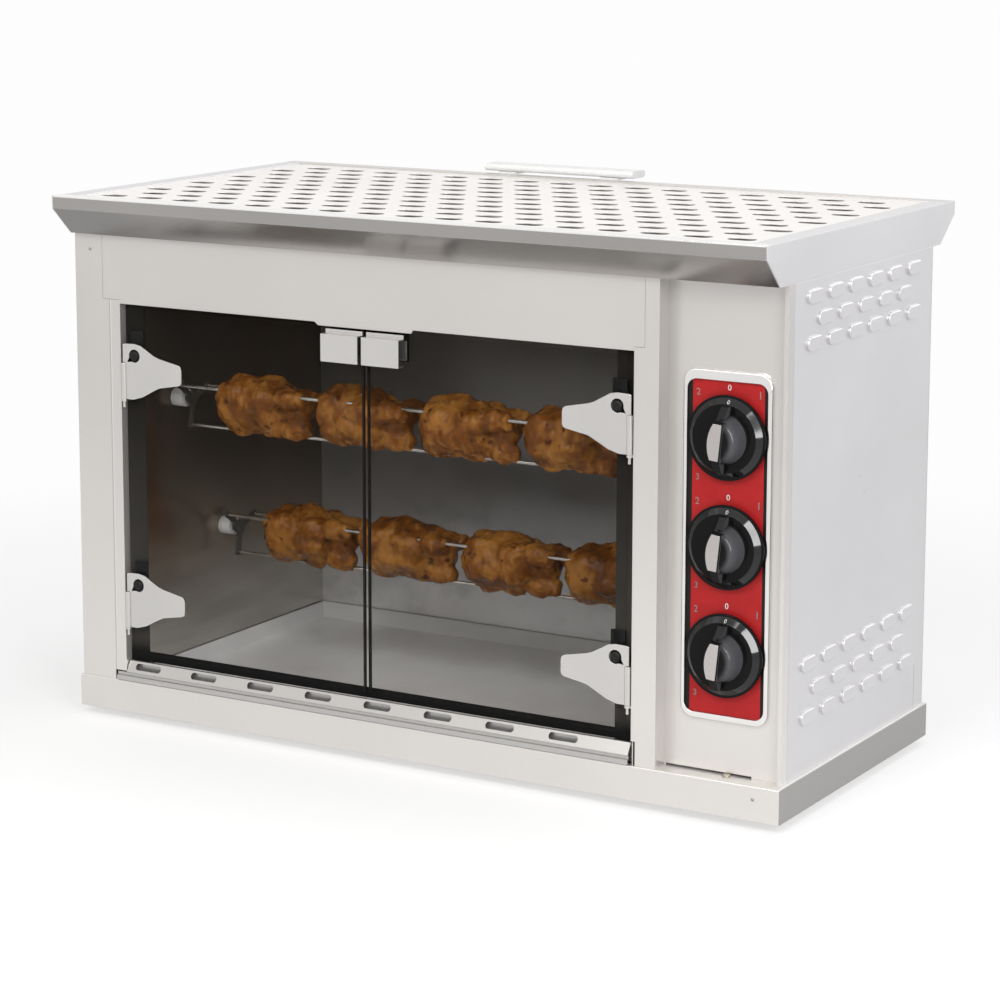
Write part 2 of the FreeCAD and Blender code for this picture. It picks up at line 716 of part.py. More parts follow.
glass_bottom = base_top + glass_bottom_gap
glass_top = opening_top - glass_edge_gap
for name, side, jamb in (("left", 1, open_left), ("right", -1, open_right)):
    axis_x = jamb + side * hinge_axis_gap
    edge = jamb + side * (hinge_axis_gap + 3.7)
    inner = open_middle - side * door_gap / 2
    glass = box(min(edge, inner), max(edge, inner), glass_front, glass_back, glass_bottom, glass_top)
    glass = glass.makeChamfer(0.6, [e for e in glass.Edges if e.Length > glass_thickness + 1])
    plates = []
    backs = []
    for z in plate_levels:
        p = plate_length
        h = plate_height
        outline = [(-1.2, h - 21), (-1.2, h - 1.5), (1, h - 0.5), (14, h), (22, h - 1.5), (29, h - 5.5),
                   (40, h - 11.5),
                   (46, h - 13.5), (p - 4, h - 18.5), (p - 1, h - 20.5), (p, h - 24), (p, h - 36),
                   (p - 1, h - 39),
                   (p - 4, h - 40.5), (46, h - 45), (36, h - 50), (24, h - 56.5), (12, 0), (0.5, 0),
                   (0.5, h - 21)]
        plate = prism_y([(axis_x + side * u, z + v) for u, v in outline], glass_front - plate_thickness,
                        glass_front)
        knuckle = Part.makeCylinder(knuckle_radius, knuckle_height, V(axis_x, pin_y, z))
        bore = Part.makeCylinder(pin_radius + running_gap, knuckle_height + 1, V(axis_x, pin_y, z - 1))
        hole_x = axis_x + side * 14
        hole_z = z + h - 13
        drop = [(hole_x - side * 9.5, hole_z - 7), (hole_x - side * 3, hole_z + 6),
                (hole_x + side * 5.5, hole_z - 5)]
        hole = rod((hole_x, glass_front - 5, hole_z), (hole_x, glass_front + 5, hole_z), 7.0)
        hole = hole.fuse(prism_y(drop, glass_front - 5, glass_front + 5))
        plates.append(joined([plate.cut(hole), knuckle]).cut(bore))
        glass = glass.cut(rod((hole_x, glass_front - 1, hole_z), (hole_x, glass_back + 1, hole_z), 3.2))
        back_x = sorted((axis_x + side * 6, axis_x + side * 22))
        back = box(back_x[0], back_x[1], glass_back, glass_back + 2, z + 12, z + h + 13)
        shank = rod((hole_x, glass_front - 1, hole_z), (hole_x, glass_back + 1, hole_z), 3.0)
        dome = Part.makeCylinder(5.6, 3.0, V(hole_x, glass_front, hole_z), V(0, -1, 0))
        dome = dome.makeFillet(2.2, [e for e in dome.Edges if e.BoundBox.YMax < glass_front - 2.9])
        backs.append(joined([back, shank, dome]))
    save(name + "_door_glass", glass)
    save(name + "_hinge_plates", plates)
    save(name + "_hinge_backs", backs)
    grip_in = open_middle - side * (door_gap / 2 + 0.3)
    grip_out = grip_in - side * handle_width
    handle_front = glass_front - handle_standoff
    handle_bottom = handle_top - handle_height
    foot_y = glass_front - handle_sheet
    handle_path = [(glass_front - 0.3, handle_bottom), (handle_front, handle_bottom),
                   (handle_front, handle_top),
                   (foot_y, handle_top), (foot_y, handle_top + handle_foot)]
    handle = prism_x(folded(handle_path, -handle_sheet), min(grip_in, grip_out), max(grip_in, grip_out))
    steel = box(min(grip_in, grip_out), max(grip_in, grip_out), glass_back, glass_back + 2,
                handle_top - handle_height + 6, handle_top - 2)
    save(name + "_door_handle", [handle, steel])

# Magnets between the frame's tongue and the steel strips behind the handles

magnets = []
for side in (-1, 1):
    xc = open_middle + side * (handle_width / 2 + 2)
    zc = handle_top - handle_height / 2 + 2
    magnets.append(rod((xc, glass_back + 2.2, zc), (xc, frame_y, zc), magnet_radius))
save("catch_magnets", magnets)

# Drip tray: a pan that slides under the bridge, with a slotted sloping front and a lip

tray_floor = base_top + 0.1
tray_left = cavity_left + tray_side_gap
tray_right = cavity_right - tray_side_gap
wall_y = front + 8.2
tray_back = cavity_rear - tray_rear_gap
pan = box(tray_left, tray_right, wall_y, tray_back, tray_floor, tray_floor + tray_wall)
pan = pan.cut(box(tray_left + tray_sheet, tray_right - tray_sheet, wall_y + tray_sheet,
                  tray_back - tray_sheet,
                  tray_floor + tray_sheet, tray_floor + tray_wall + 1))
lip_path = [(front + 2.4, tray_floor + 0.5), (front - 1.2, tray_floor + 0.5),
            (front - 1.2, tray_floor + 5.6),
            (front + 1.0, tray_floor + 6.2), (front + 1.0, tray_floor + 9.2)]
slope_path = [(front - 1.0, tray_floor + 10.2), (front + 5.8, tray_floor + 21.5),
              (wall_y + tray_sheet, tray_floor + 21.5), (wall_y + tray_sheet, tray_floor + 2)]
facia_left = open_left + 1
facia_right = open_right - 2.5
lip = prism_x(folded(lip_path, -0.8), facia_left - 13, facia_left + 1)
slope = prism_x(folded(lip_path + slope_path, -0.8), facia_left, facia_right)
tray = joined([pan, lip, slope])
slot_cuts = []
tray_slot_count = int((facia_right - facia_left - tray_slot_margin - tray_slot_length) / tray_slot_pitch) + 1
for i in range(tray_slot_count):
    xc = facia_left + tray_slot_margin + i * tray_slot_pitch
    slot_cuts.append(obround(V(xc, front - 4, tray_floor + tray_slot_rise), X, Y * (wall_y - front + 3.2),
                             tray_slot_length, tray_slot_width))
save("drip_tray", tray.cut(Part.makeCompound(slot_cuts)))


# Spit drive: bearings in the liner walls, sockets on geared shafts, and the motor's gear

def gear(teeth, axis, phase, x0, x1):
    pitch_radius = teeth * gear_module / 2
    tip = pitch_radius + 0.9 * gear_module
    root = pitch_radius - 1.2 * gear_module
    half = 0.46 * math.pi * gear_module / 2
    slope = math.tan(math.radians(20))
    at_tip = (half - 0.9 * gear_module * slope) / tip
    at_root = (half + 1.2 * gear_module * slope) / root
    points = []
    for i in range(teeth):
        middle = phase + 2 * math.pi * i / teeth
        for radius, angle in ((root, -at_root), (tip, -at_tip), (tip, at_tip), (root, at_root)):
            points.append((axis[0] + radius * math.cos(middle + angle),
                           axis[1] + radius * math.sin(middle + angle)))
    return prism_x(points, x0, x1)


toward_lower = math.atan2(-axis_drop, axis_step_back)
gear_x0 = cavity_right + sheet + 7.8
gear_x1 = gear_x0 + gear_width
bush_in = cavity_left + 4
socket_x = cavity_right - 20.7
bearings = []
for y, z in (upper_axis, lower_axis):
    left = joined([rod((cavity_left, y, z), (bush_in, y, z), collar_radius),
                   rod((cavity_left - 6, y, z), (cavity_left, y, z), left_sleeve)])
    bearings.append(left.cut(rod((cavity_left - 7, y, z), (bush_in + 1, y, z), spit_journal + running_gap)))
    right = joined([rod((cavity_right - 4, y, z), (cavity_right, y, z), 10.0),
                    rod((cavity_right, y, z), (cavity_right + sheet + 4, y, z), right_sleeve)])
    bearings.append(right.cut(rod((cavity_right - 5, y, z), (cavity_right + 9, y, z),
                                  drive_shaft + running_gap)))
save("spit_bearings", bearings)

drives = (("upper", upper_axis, toward_lower),
          ("lower", lower_axis, toward_lower + math.pi + math.pi / spit_teeth))
for name, (y, z), phase in drives:
    socket = rod((socket_x, y, z), (cavity_right - 5.5, y, z), 8.5)
    hole = square_end / 2 + 0.1
    socket = socket.cut(box(socket_x - 1, socket_x + 13, y - hole, y + hole, z - hole, z + hole))
    shaft = rod((cavity_right - 6, y, z), (gear_x1, y, z), drive_shaft)
    hub = rod((cavity_right + sheet + 4.3, y, z), (gear_x1, y, z), 11.0)
    save(name + "_drive", joined([socket, shaft, hub, gear(spit_teeth, (y, z), phase, gear_x0, gear_x1)]))

plate_x0 = gear_x1 + 4
motor_y, motor_z = motor_axis
motor_phase = toward_lower + math.pi + math.pi / motor_teeth
motor_gear = joined([gear(motor_teeth, motor_axis, motor_phase, gear_x0, gear_x1),
                     rod((gear_x0, motor_y, motor_z), (plate_x0 + 12, motor_y, motor_z), 5.0)])
save("motor_gear", motor_gear)

across = (math.sin(toward_lower), -math.cos(toward_lower))
along = (math.cos(toward_lower), math.sin(toward_lower))
reach = motor_teeth * gear_module / 2 + 11
corners = []
for a, b in ((-1, -1), (-1, 1), (1, 1), (1, -1)):
    corners.append((motor_y + a * (reach + 8) * across[0] + b * 26 * along[0],
                    motor_z + a * (reach + 8) * across[1] + b * 26 * along[1]))
plate = prism_x(corners, plate_x0, plate_x0 + 2)
posts = []
for a in (-1, 1):
    for b in (-1, 1):
        y = motor_y + a * reach * across[0] + b * 18 * along[0]
        z = motor_z + a * reach * across[1] + b * 18 * along[1]
        posts.append(rod((cavity_right + sheet, y, z), (plate_x0 + 0.5, y, z), 4.0))
bracket = joined([plate] + posts).cut(rod((plate_x0 - 1, motor_y, motor_z),
                                          (plate_x0 + 3, motor_y, motor_z), 8.0))
save("motor_bracket", bracket)

gearbox_x = plate_x0 + 2
gearbox = box(gearbox_x, gearbox_x + 32, motor_y - 29, motor_y + 29, motor_z - 29, motor_z + 29)
gearbox = joined([rounded(gearbox, 5, X),
                  rod((gearbox_x + 31, motor_y, motor_z), (gearbox_x + 68, motor_y, motor_z), 24.0)])
save("gearmotor", gearbox.cut(rod((gearbox_x - 1, motor_y, motor_z), (gearbox_x + 11, motor_y, motor_z),
                                  5.0 + running_gap)))

# Spits: collar and journal, two three-armed spiders, three tines and a square driving end

tine_angles = [math.radians(tine_turn + 360 * i / tine_count) for i in range(tine_count)]


def spider(y, z, x0, x1):
    arms = [rod((x0, y, z), (x1, y, z), 8.0)]
    for angle in tine_angles:
        arm = box(x0, x1, y, y + tine_circle, z - 3, z + 3)
        arm.rotate(V(x0, y, z), V(1, 0, 0), math.degrees(angle))
        arms.append(arm)
        tip = (y + tine_circle * math.cos(angle), z + tine_circle * math.sin(angle))
        arms.append(rod((x0, tip[0], tip[1]), (x1, tip[0], tip[1]), 4.0))
    return arms


def bird(turn):
    """Trussed bird with its breast, two folded legs and two wings, its length along X."""
    half = bird_length / 2
    r = bird_girth / 2
    steps = 8
    line = []
    for i in range(steps + 1):
        angle = math.pi * i / steps
        line.append(V(-0.98 * half * math.cos(angle), 0.98 * r * math.sin(angle) ** 0.8, 0))
    trunk = Part.Face(Part.makePolygon(line + [line[0]])).revolve(V(0, 0, 0), X, 360)
    lumps = []
    for s in (-1, 1):
        knee = V(0.35 * half, s * 0.62 * r, 0.3 * r)
        heel = V(0.93 * half, s * 0.25 * r, 0.42 * r)
        lumps.append(Part.makeSphere(0.4 * r, knee))
        lumps.append(Part.makeCone(0.36 * r, 0.14 * r, (heel - knee).Length, knee, heel - knee))
        lumps.append(Part.makeSphere(0.28 * r, V(-0.45 * half, s * 0.72 * r, 0.1 * r)))
    whole = trunk.multiFuse(lumps)
    whole.rotate(V(0, 0, 0), X, turn)
    return whole


collar_end = bush_in + 0.3 + collar_length
spider_left = collar_end + spider_offset
spider_right = socket_x - 4.5
first_bird_x = spider_left + 3 + bird_gap_left + 0.49 * bird_length
last_bird_x = spider_right - bird_gap_right - 0.49 * bird_length
bird_pitch = (last_bird_x - first_bird_x) / (birds_per_spit - 1)
for row, (name, (y, z)) in enumerate((("upper", upper_axis), ("lower", lower_axis))):
    pieces = [rod((cavity_left - 6, y, z), (bush_in + 1, y, z), spit_journal),
              rod((bush_in + 0.3, y, z), (collar_end, y, z), collar_radius),
              rod((collar_end - 1, y, z), (spider_left + 1, y, z), spit_journal)]
    pieces += spider(y, z, spider_left, spider_left + 3)
    pieces += spider(y, z, spider_right, spider_right + 3)
    pieces.append(rod((spider_right + 2, y, z), (socket_x - 0.3, y, z), 7.0))
    pieces.append(box(socket_x - 1, socket_x + 12, y - square_end / 2, y + square_end / 2,
                      z - square_end / 2, z + square_end / 2))
    tips = [(y + tine_circle * math.cos(a), z + tine_circle * math.sin(a)) for a in tine_angles]
    for ty, tz in tips:
        pieces.append(rod((spider_left + 1, ty, tz), (spider_right + 1, ty, tz), tine_radius))
    save(name + "_spit", joined(pieces))
    birds = []
    for i in range(birds_per_spit):
        xc = first_bird_x + i * bird_pitch
        fowl = moved(bird(20 + 35 * ((i + 2 * row) % 3)), xc, y, z)
        for ty, tz in tips:
            fowl = fowl.cut(rod((xc - bird_length, ty, tz), (xc + bird_length, ty, tz), tine_radius + 0.1))
        birds.append(fowl)
    save(name + "_birds", birds)
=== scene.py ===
import json
import math
import random

import bpy
from bpy.props import FloatProperty, FloatVectorProperty, PointerProperty
from mathutils import Euler, Matrix, Vector


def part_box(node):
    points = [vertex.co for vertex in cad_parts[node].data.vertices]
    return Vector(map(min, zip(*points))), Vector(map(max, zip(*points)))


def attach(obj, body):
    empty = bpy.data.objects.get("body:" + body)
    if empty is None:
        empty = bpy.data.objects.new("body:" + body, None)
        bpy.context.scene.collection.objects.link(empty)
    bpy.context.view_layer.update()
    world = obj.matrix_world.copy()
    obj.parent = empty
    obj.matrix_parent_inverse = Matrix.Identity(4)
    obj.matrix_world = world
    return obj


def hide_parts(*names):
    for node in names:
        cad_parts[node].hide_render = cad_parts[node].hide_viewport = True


bl_info = {
    "name": "Gas chicken rotisserie",
    "version": (1, 0, 0),
    "blender": (4, 5, 0),
    "location": "View3D > Sidebar > Rotisserie",
    "description": "Dresses the packed frame of a countertop gas rotisserie and sets its stage",
    "category": "Object",
}

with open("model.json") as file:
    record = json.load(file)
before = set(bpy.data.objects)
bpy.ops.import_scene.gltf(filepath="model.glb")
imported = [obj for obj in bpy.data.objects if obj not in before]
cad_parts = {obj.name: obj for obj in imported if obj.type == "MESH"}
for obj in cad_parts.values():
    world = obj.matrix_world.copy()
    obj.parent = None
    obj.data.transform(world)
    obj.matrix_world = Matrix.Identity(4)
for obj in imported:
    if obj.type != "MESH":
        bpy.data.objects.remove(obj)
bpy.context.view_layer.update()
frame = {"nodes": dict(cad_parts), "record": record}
KNOBS = (1, 2, 3)
X, Y, Z = 0, 1, 2


# Reading the frame

def span(node):
    """Lowest corner, highest corner and middle of a CAD node at rest."""
    low, high = (Vector(corner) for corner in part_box(node))
    return low, high, (low + high) / 2


def joint_place(name):
    """A point on the axis of one of the frame's joints."""
    for joint in frame["record"]["behaviour"]["joints"]:
        if joint["name"] == name:
            return Vector(joint["pos_m"])
    raise KeyError(name)


# Shader building

def tone(colour, factor):
    return tuple(channel * factor for channel in colour)


def brighter(colour, factor):
    return tuple(min(1, channel) for channel in tone(colour, factor))


def rgba(colour):
    """A colour with its alpha, or a link as it is."""
    return colour if isinstance(colour, Socket) else (*colour, 1.0)


class Socket:
    """A shader output that adds Math nodes when it is used in an expression."""

    def __init__(self, nodes, link):
        self.nodes = nodes
        self.link = link

    def math(self, operation, *values):
        node = self.nodes.node("ShaderNodeMath", {"operation": operation}, dict(enumerate(values)))
        return self.nodes.out(node)

    def __add__(self, other):
        return self.math("ADD", self, other)

    def __radd__(self, other):
        return self.math("ADD", other, self)

    def __sub__(self, other):
        return self.math("SUBTRACT", self, other)

    def __rsub__(self, other):
        return self.math("SUBTRACT", other, self)

    def __mul__(self, other):
        return self.math("MULTIPLY", self, other)

    def __rmul__(self, other):
        return self.math("MULTIPLY", other, self)

    def __truediv__(self, other):
        return self.math("DIVIDE", self, other)

    def __rtruediv__(self, other):
        return self.math("DIVIDE", other, self)

    def __pow__(self, other):
        return self.math("POWER", self, other)

    def distance(self):
        return self.math("ABSOLUTE", self)

    def capped(self):
        return self.math("MINIMUM", self, 1.0)

    def smooth(self, low, high):
        """0 below low, 1 above high, and a soft ramp between."""
        settings = {"interpolation_type": "SMOOTHSTEP"}
        inputs = {"Value": self, "From Min": low, "From Max": high}
        return self.nodes.out(self.nodes.node("ShaderNodeMapRange", settings, inputs))


class Nodes:
    """The nodes of one tree, a material's or the world's."""

    def __init__(self, tree, output):
        self.tree = tree
        tree.nodes.clear()
        self.output = self.node(output, {}, {})

    def node(self, kind, settings, inputs):
        """Adds a node, makes its settings, then fills or links its inputs."""
        node = self.tree.nodes.new(kind)
        for key, value in settings.items():
            if key == "stops":
                ramp = node.color_ramp
                while len(ramp.elements) < len(value):
                    ramp.elements.new(0.5)
                for element, (place, colour) in zip(ramp.elements, value):
                    element.position = place
                    element.color = rgba(colour)
            else:
                setattr(node, key, value)
        for key, value in inputs.items():
            socket = node.inputs[key]
            if isinstance(value, Socket):
                self.tree.links.new(value.link, socket)
            elif value is not None:
                socket.default_value = value
        return node

    def out(self, node, name=0):
        return Socket(self, node.outputs[name])

    def seen(self):
        """1 on rays from the camera, also mirrored or through glass, and 0 on rays that only light."""
        rays = self.node("ShaderNodeLightPath", {}, {})
        camera, glossy, through = (self.out(rays, f"Is {kind} Ray")
                                   for kind in ("Camera", "Glossy", "Transmission"))
        return (camera + glossy + through).capped()

    def blend(self, factor, first, second):
        return self.out(self.node("ShaderNodeMixShader", {}, {0: factor, 1: first, 2: second}))

    def show(self, shader):
        self.tree.links.new(shader.link, self.output.inputs["Surface"])


class Finish(Nodes):
    """One material and its node tree."""

    def __init__(self, name):
        self.material = bpy.data.materials.new(name)
        self.material.use_nodes = True
        super().__init__(self.material.node_tree, "ShaderNodeOutputMaterial")

    def place(self):
        return self.out(self.node("ShaderNodeTexCoord", {}, {}), "Object")

    def mapped(self, scale, location):
        inputs = {"Vector": self.place(), "Scale": scale, "Location": location}
        return self.out(self.node("ShaderNodeMapping", {}, inputs))

    def axes(self):
        node = self.node("ShaderNodeSeparateXYZ", {}, {0: self.place()})
        return [self.out(node, axis) for axis in (X, Y, Z)]

    def facing(self, axis, sign=1, low=0.5, high=0.7):
        """1 where the surface faces along an axis (sign 1) or against it (sign -1), 0 elsewhere."""
        normal = self.out(self.node("ShaderNodeNewGeometry", {}, {}), "True Normal")
        parts = self.node("ShaderNodeSeparateXYZ", {}, {0: normal})
        return (self.out(parts, axis) * sign).smooth(low, high)

    def noise(self, scale, detail=3.0, rough=0.5, stretch=(1, 1, 1), shift=(0, 0, 0)):
        inputs = {"Vector": self.mapped(stretch, shift), "Scale": scale, "Detail": detail,
                  "Roughness": rough}
        return self.out(self.node("ShaderNodeTexNoise", {}, inputs), "Fac")

    def mix(self, factor, first, second):
        """A colour between two; the node's colour sockets are its inputs 6 and 7 and its output 2."""
        inputs = {0: factor, 6: rgba(first), 7: rgba(second)}
        return self.out(self.node("ShaderNodeMix", {"data_type": "RGBA"}, inputs), 2)

    def ramp(self, value, *stops):
        return self.out(self.node("ShaderNodeValToRGB", {"stops": stops}, {0: value}), "Color")

    def rounded(self, radius, samples=4):
        """Normal that softens the folds and edges of a sharp mesh."""
        return self.out(self.node("ShaderNodeBevel", {"samples": samples}, {"Radius": radius}))

    def bump(self, height, depth, strength, normal=None):
        inputs = {"Height": height, "Distance": depth, "Strength": strength, "Normal": normal}
        return self.out(self.node("ShaderNodeBump", {}, inputs))

    def surface(self, colour, roughness, metallic=0.0, normal=None, **constants):
        """Shows a Principled shader; a constant's name has _ where the socket's has a space."""
        inputs = {"Base Color": rgba(colour), "Roughness": roughness, "Metallic": metallic,
                  "Normal": normal}
        inputs.update({key.replace("_", " "): value for key, value in constants.items()})
        shader = self.out(self.node("ShaderNodeBsdfPrincipled", {}, inputs), "BSDF")
        self.show(shader)
        return shader


# Finishes that several pieces share

GRAIN = 700.0
BAND = 16.0
SMEAR = 5.0
SEAM_LINE = (0.0004, 0.0010)
SEAM_GLINT = (0.0003, 0.0008)
GLINT_OFFSET = 0.0013
# Span below a top edge and colour of the painted highlight drawn along it.
RIM_HIGHLIGHT_BAND = (-0.0016, -0.0010)
RIM_HIGHLIGHT = (0.95, 0.94, 0.93)
# Heights between which the steel is painted lighter towards the foot, as painted light.
FOOT_LIGHT_TOP, FOOT_LIGHT_BOTTOM = 0.45, 0.02


def along(axis, stretch=0.03):
    """Scale that draws a noise out into streaks along an axis."""
    return tuple(stretch if i == axis else 1 for i in (X, Y, Z))


def brushed(name, colour, roughness, axis, metallic=1.0, smudge=0.05, edge=0.0008, stretch=0.03,
            painted_foot_light=0.0, rim=None, underside_reflection=None, right_side_shade=None, seam=None):
    """Sheet metal with a grain drawn along an axis, faint smears and softened folds.

    Options that paint light: towards the foot a painted light that lightens it, at a given height a
    painted highlight along the top edge, on what faces down a painted reflection that changes along X
    with a start, an end and two tones, on what faces right painted shade of a given tone, and at a
    given X a seam's dark line with a painted highlight beside it.
    """
    f = Finish(name)
    streak = f.noise(GRAIN, 2.0, 0.6, along(axis, stretch))
    band = f.noise(BAND, 2.0, 0.5, along(axis, 0.04))
    smear = f.noise(SMEAR, 3.0, 0.55)
    x, y, z = f.axes()
    tint = f.mix(smear.smooth(0.35, 0.75), tone(colour, 1 - smudge), colour)
    tint = f.mix(streak * 0.16, tint, tone(colour, 0.86))
    tint = f.mix(band.smooth(0.3, 0.8) * 0.30, tint, tone(colour, 0.90))
    # Painted light: the steel is drawn lighter towards the foot.
    if painted_foot_light:
        tint = f.mix(z.smooth(FOOT_LIGHT_TOP, FOOT_LIGHT_BOTTOM), tint, brighter(colour, 1 + painted_foot_light))
    # Painted highlight: a near-white line along the top edge.
    if rim is not None:
        line = z.smooth(rim + RIM_HIGHLIGHT_BAND[0], rim + RIM_HIGHLIGHT_BAND[1])
        tint = f.mix(line * 0.8, tint, RIM_HIGHLIGHT)
    # Painted reflection: what faces down goes from a darker to a lighter tone along X.
    if underside_reflection is not None:
        near, far, dark, light = underside_reflection
        shade = f.mix(x.smooth(near, far), tone(colour, dark), tone(colour, light))
        tint = f.mix(f.facing(Z, -1, 0.3, 0.5), tint, shade)
    # Painted shade: what faces right is drawn in a darker tone.
    if right_side_shade is not None:
        tint = f.mix(f.facing(X), tint, tone(colour, right_side_shade))
    height = smear
    if seam is not None:
        groove = 1 - (x - seam).distance().smooth(*SEAM_LINE)
        tint = f.mix(groove * 0.5, tint, tone(colour, 0.45))
        # Painted highlight: a bright line beside the seam's dark line.
        glint = 1 - (x - seam - GLINT_OFFSET).distance().smooth(*SEAM_GLINT)
        tint = f.mix(glint * 0.6, tint, brighter(colour, 1.35))
        height = smear - groove * 0.3
    rough = roughness + (streak - 0.5) * 0.06 + (smear - 0.5) * 0.08
    f.surface(tint, rough, metallic, f.bump(height, 0.0016, 0.12, f.rounded(edge)))
    return f.material


def plain(name, colour, roughness, metallic=0.0, spots=0.15, scale=120.0, **constants):
    """Moulded, painted or machined finish with slight changes of tone and a fine surface."""
    f = Finish(name)
    mottle = f.noise(scale, 4.0, 0.6)
    tint = f.mix(mottle.smooth(0.3, 0.75), tone(colour, 1 - spots), colour)
    f.surface(tint, roughness + (mottle - 0.5) * 0.12, metallic, f.bump(mottle, 0.00002, 0.4), **constants)
    return f.material


def dress(material, *nodes):
    """Gives CAD nodes a material."""
    for name in nodes:
        mesh = frame["nodes"][name].data
        mesh.materials.clear()
        mesh.materials.append(material)


# Modelling helpers

def free_hands():
    """Object mode with nothing selected."""
    if bpy.context.mode != "OBJECT":
        bpy.ops.object.mode_set(mode="OBJECT")
    bpy.ops.object.select_all(action="DESELECT")


def hold(obj):
    """Makes an object the only selected one."""
    free_hands()
    obj.select_set(True)
    bpy.context.view_layer.objects.active = obj


def settle(obj):
    """Puts an object's place, turn and size into its mesh."""
    hold(obj)
    bpy.ops.object.transform_apply(location=True, rotation=True, scale=True)


def harden(obj):
    """Applies every modifier of an object."""
    hold(obj)
    for modifier in list(obj.modifiers):
        bpy.ops.object.modifier_apply(modifier=modifier.name)


def coated(obj, material, body):
    """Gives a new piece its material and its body."""
    obj.data.materials.clear()
    obj.data.materials.append(material)
    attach(obj, body)


def digit(name, text, place, size, material, body, tilt=0.0):
    """A raised numeral that faces the front, or leans back by a tilt in degrees."""
    free_hands()
    bpy.ops.object.text_add(location=place, rotation=(math.radians(90 - tilt), 0, 0))
    piece = bpy.context.active_object
    piece.data.body = text
    piece.data.size = size
    piece.data.extrude = 0.00015
    piece.data.align_x = "CENTER"
    piece.data.align_y = "CENTER"
    bpy.ops.object.convert(target="MESH")
    piece = bpy.context.active_object
    piece.name = name
    piece.data.name = name
    settle(piece)
    coated(piece, material, body)


# What a user may change

def colour_setting(name, description, default):
    return FloatVectorProperty(name=name, description=description, subtype="COLOR", default=default,
                               min=0, max=1)


def share_setting(name, description, default):
    return FloatProperty(name=name, description=description, subtype="FACTOR", default=default,
                         min=0, max=1)


def length_setting(name, description, default):
    return FloatProperty(name=name, description=description, subtype="DISTANCE", default=default)


def power_setting(name, description, default):
    return FloatProperty(name=name, description=description, unit="POWER", default=default)


class FinishSettings(bpy.types.PropertyGroup):
    steel: colour_setting("Steel", "Colour of the brushed case", (0.565, 0.545, 0.528))
    steel_roughness: share_setting("Steel roughness", "How soft the case reflects", 0.30)
    satin: share_setting("Steel shine", "Share of the case's light that is mirrored", 0.68)
    liner: colour_setting("Cavity", "Colour of the cavity walls", (0.85, 0.845, 0.84))
    label: colour_setting("Label", "Colour of the control label", (0.335, 0.015, 0.016))
    glass: colour_setting("Glass", "Colour of the tint in the door glass", (0.010, 0.009, 0.008))
    glass_density: share_setting("Glass density", "Share of the light that each face holds back", 0.13)


class BirdSettings(bpy.types.PropertyGroup):
    length: length_setting("Length", "Length of a bird along the spit", 0.120)
    girth: length_setting("Girth", "Thickness of a bird", 0.071)
    detail: length_setting("Detail", "Size of the cells that a bird is rebuilt from", 0.0017)
    wrinkle: length_setting("Wrinkles", "Depth of the folds in the skin", 0.0055)
    skin: colour_setting("Skin", "Colour of the roasted skin", (0.175, 0.056, 0.006))
    # The gold is also drawn lighter on the humps of the skin as a painted highlight.
    gold: colour_setting("Gold", "Colour of the crisp humps of the skin", (0.34, 0.138, 0.023))


class StageSettings(bpy.types.PropertyGroup):
    floor: length_setting("Floor", "Width of the floor", 14.0)
    key: power_setting("Key light", "Power of the large light at the left", 10.0)
    top: power_setting("Top light", "Power of the light overhead", 26.0)
    fill: power_setting("Fill light", "Power of the light at the right", 12.0)
    back: power_setting("Back light", "Power of the light behind at the right", 16.0)
    door: power_setting("Door light", "Power of the light before the doors", 33.0)
    rim: power_setting("Rim light", "Power of the tall narrow light at the front", 20.0)
    world: FloatProperty(name="World", description="Strength of the light from all sides", default=0.33)


# Case, cornice and top

# Brighter, bluer tone of the side panels and cornice ends: painted light from the right.
SIDE_LIGHT_TINT = (1.11, 1.13, 1.19)
# How much lighter the posts and the control panel are painted towards the foot, as painted light.
POST_FOOT_LIGHT = 0.16
POST_SEAM_INSET = 0.0135
# Start, end and two tones of the painted reflection on the cornice's sloping lower face.
UNDERSIDE_REFLECTION = (0.05, 0.30, 0.58, 1.34)


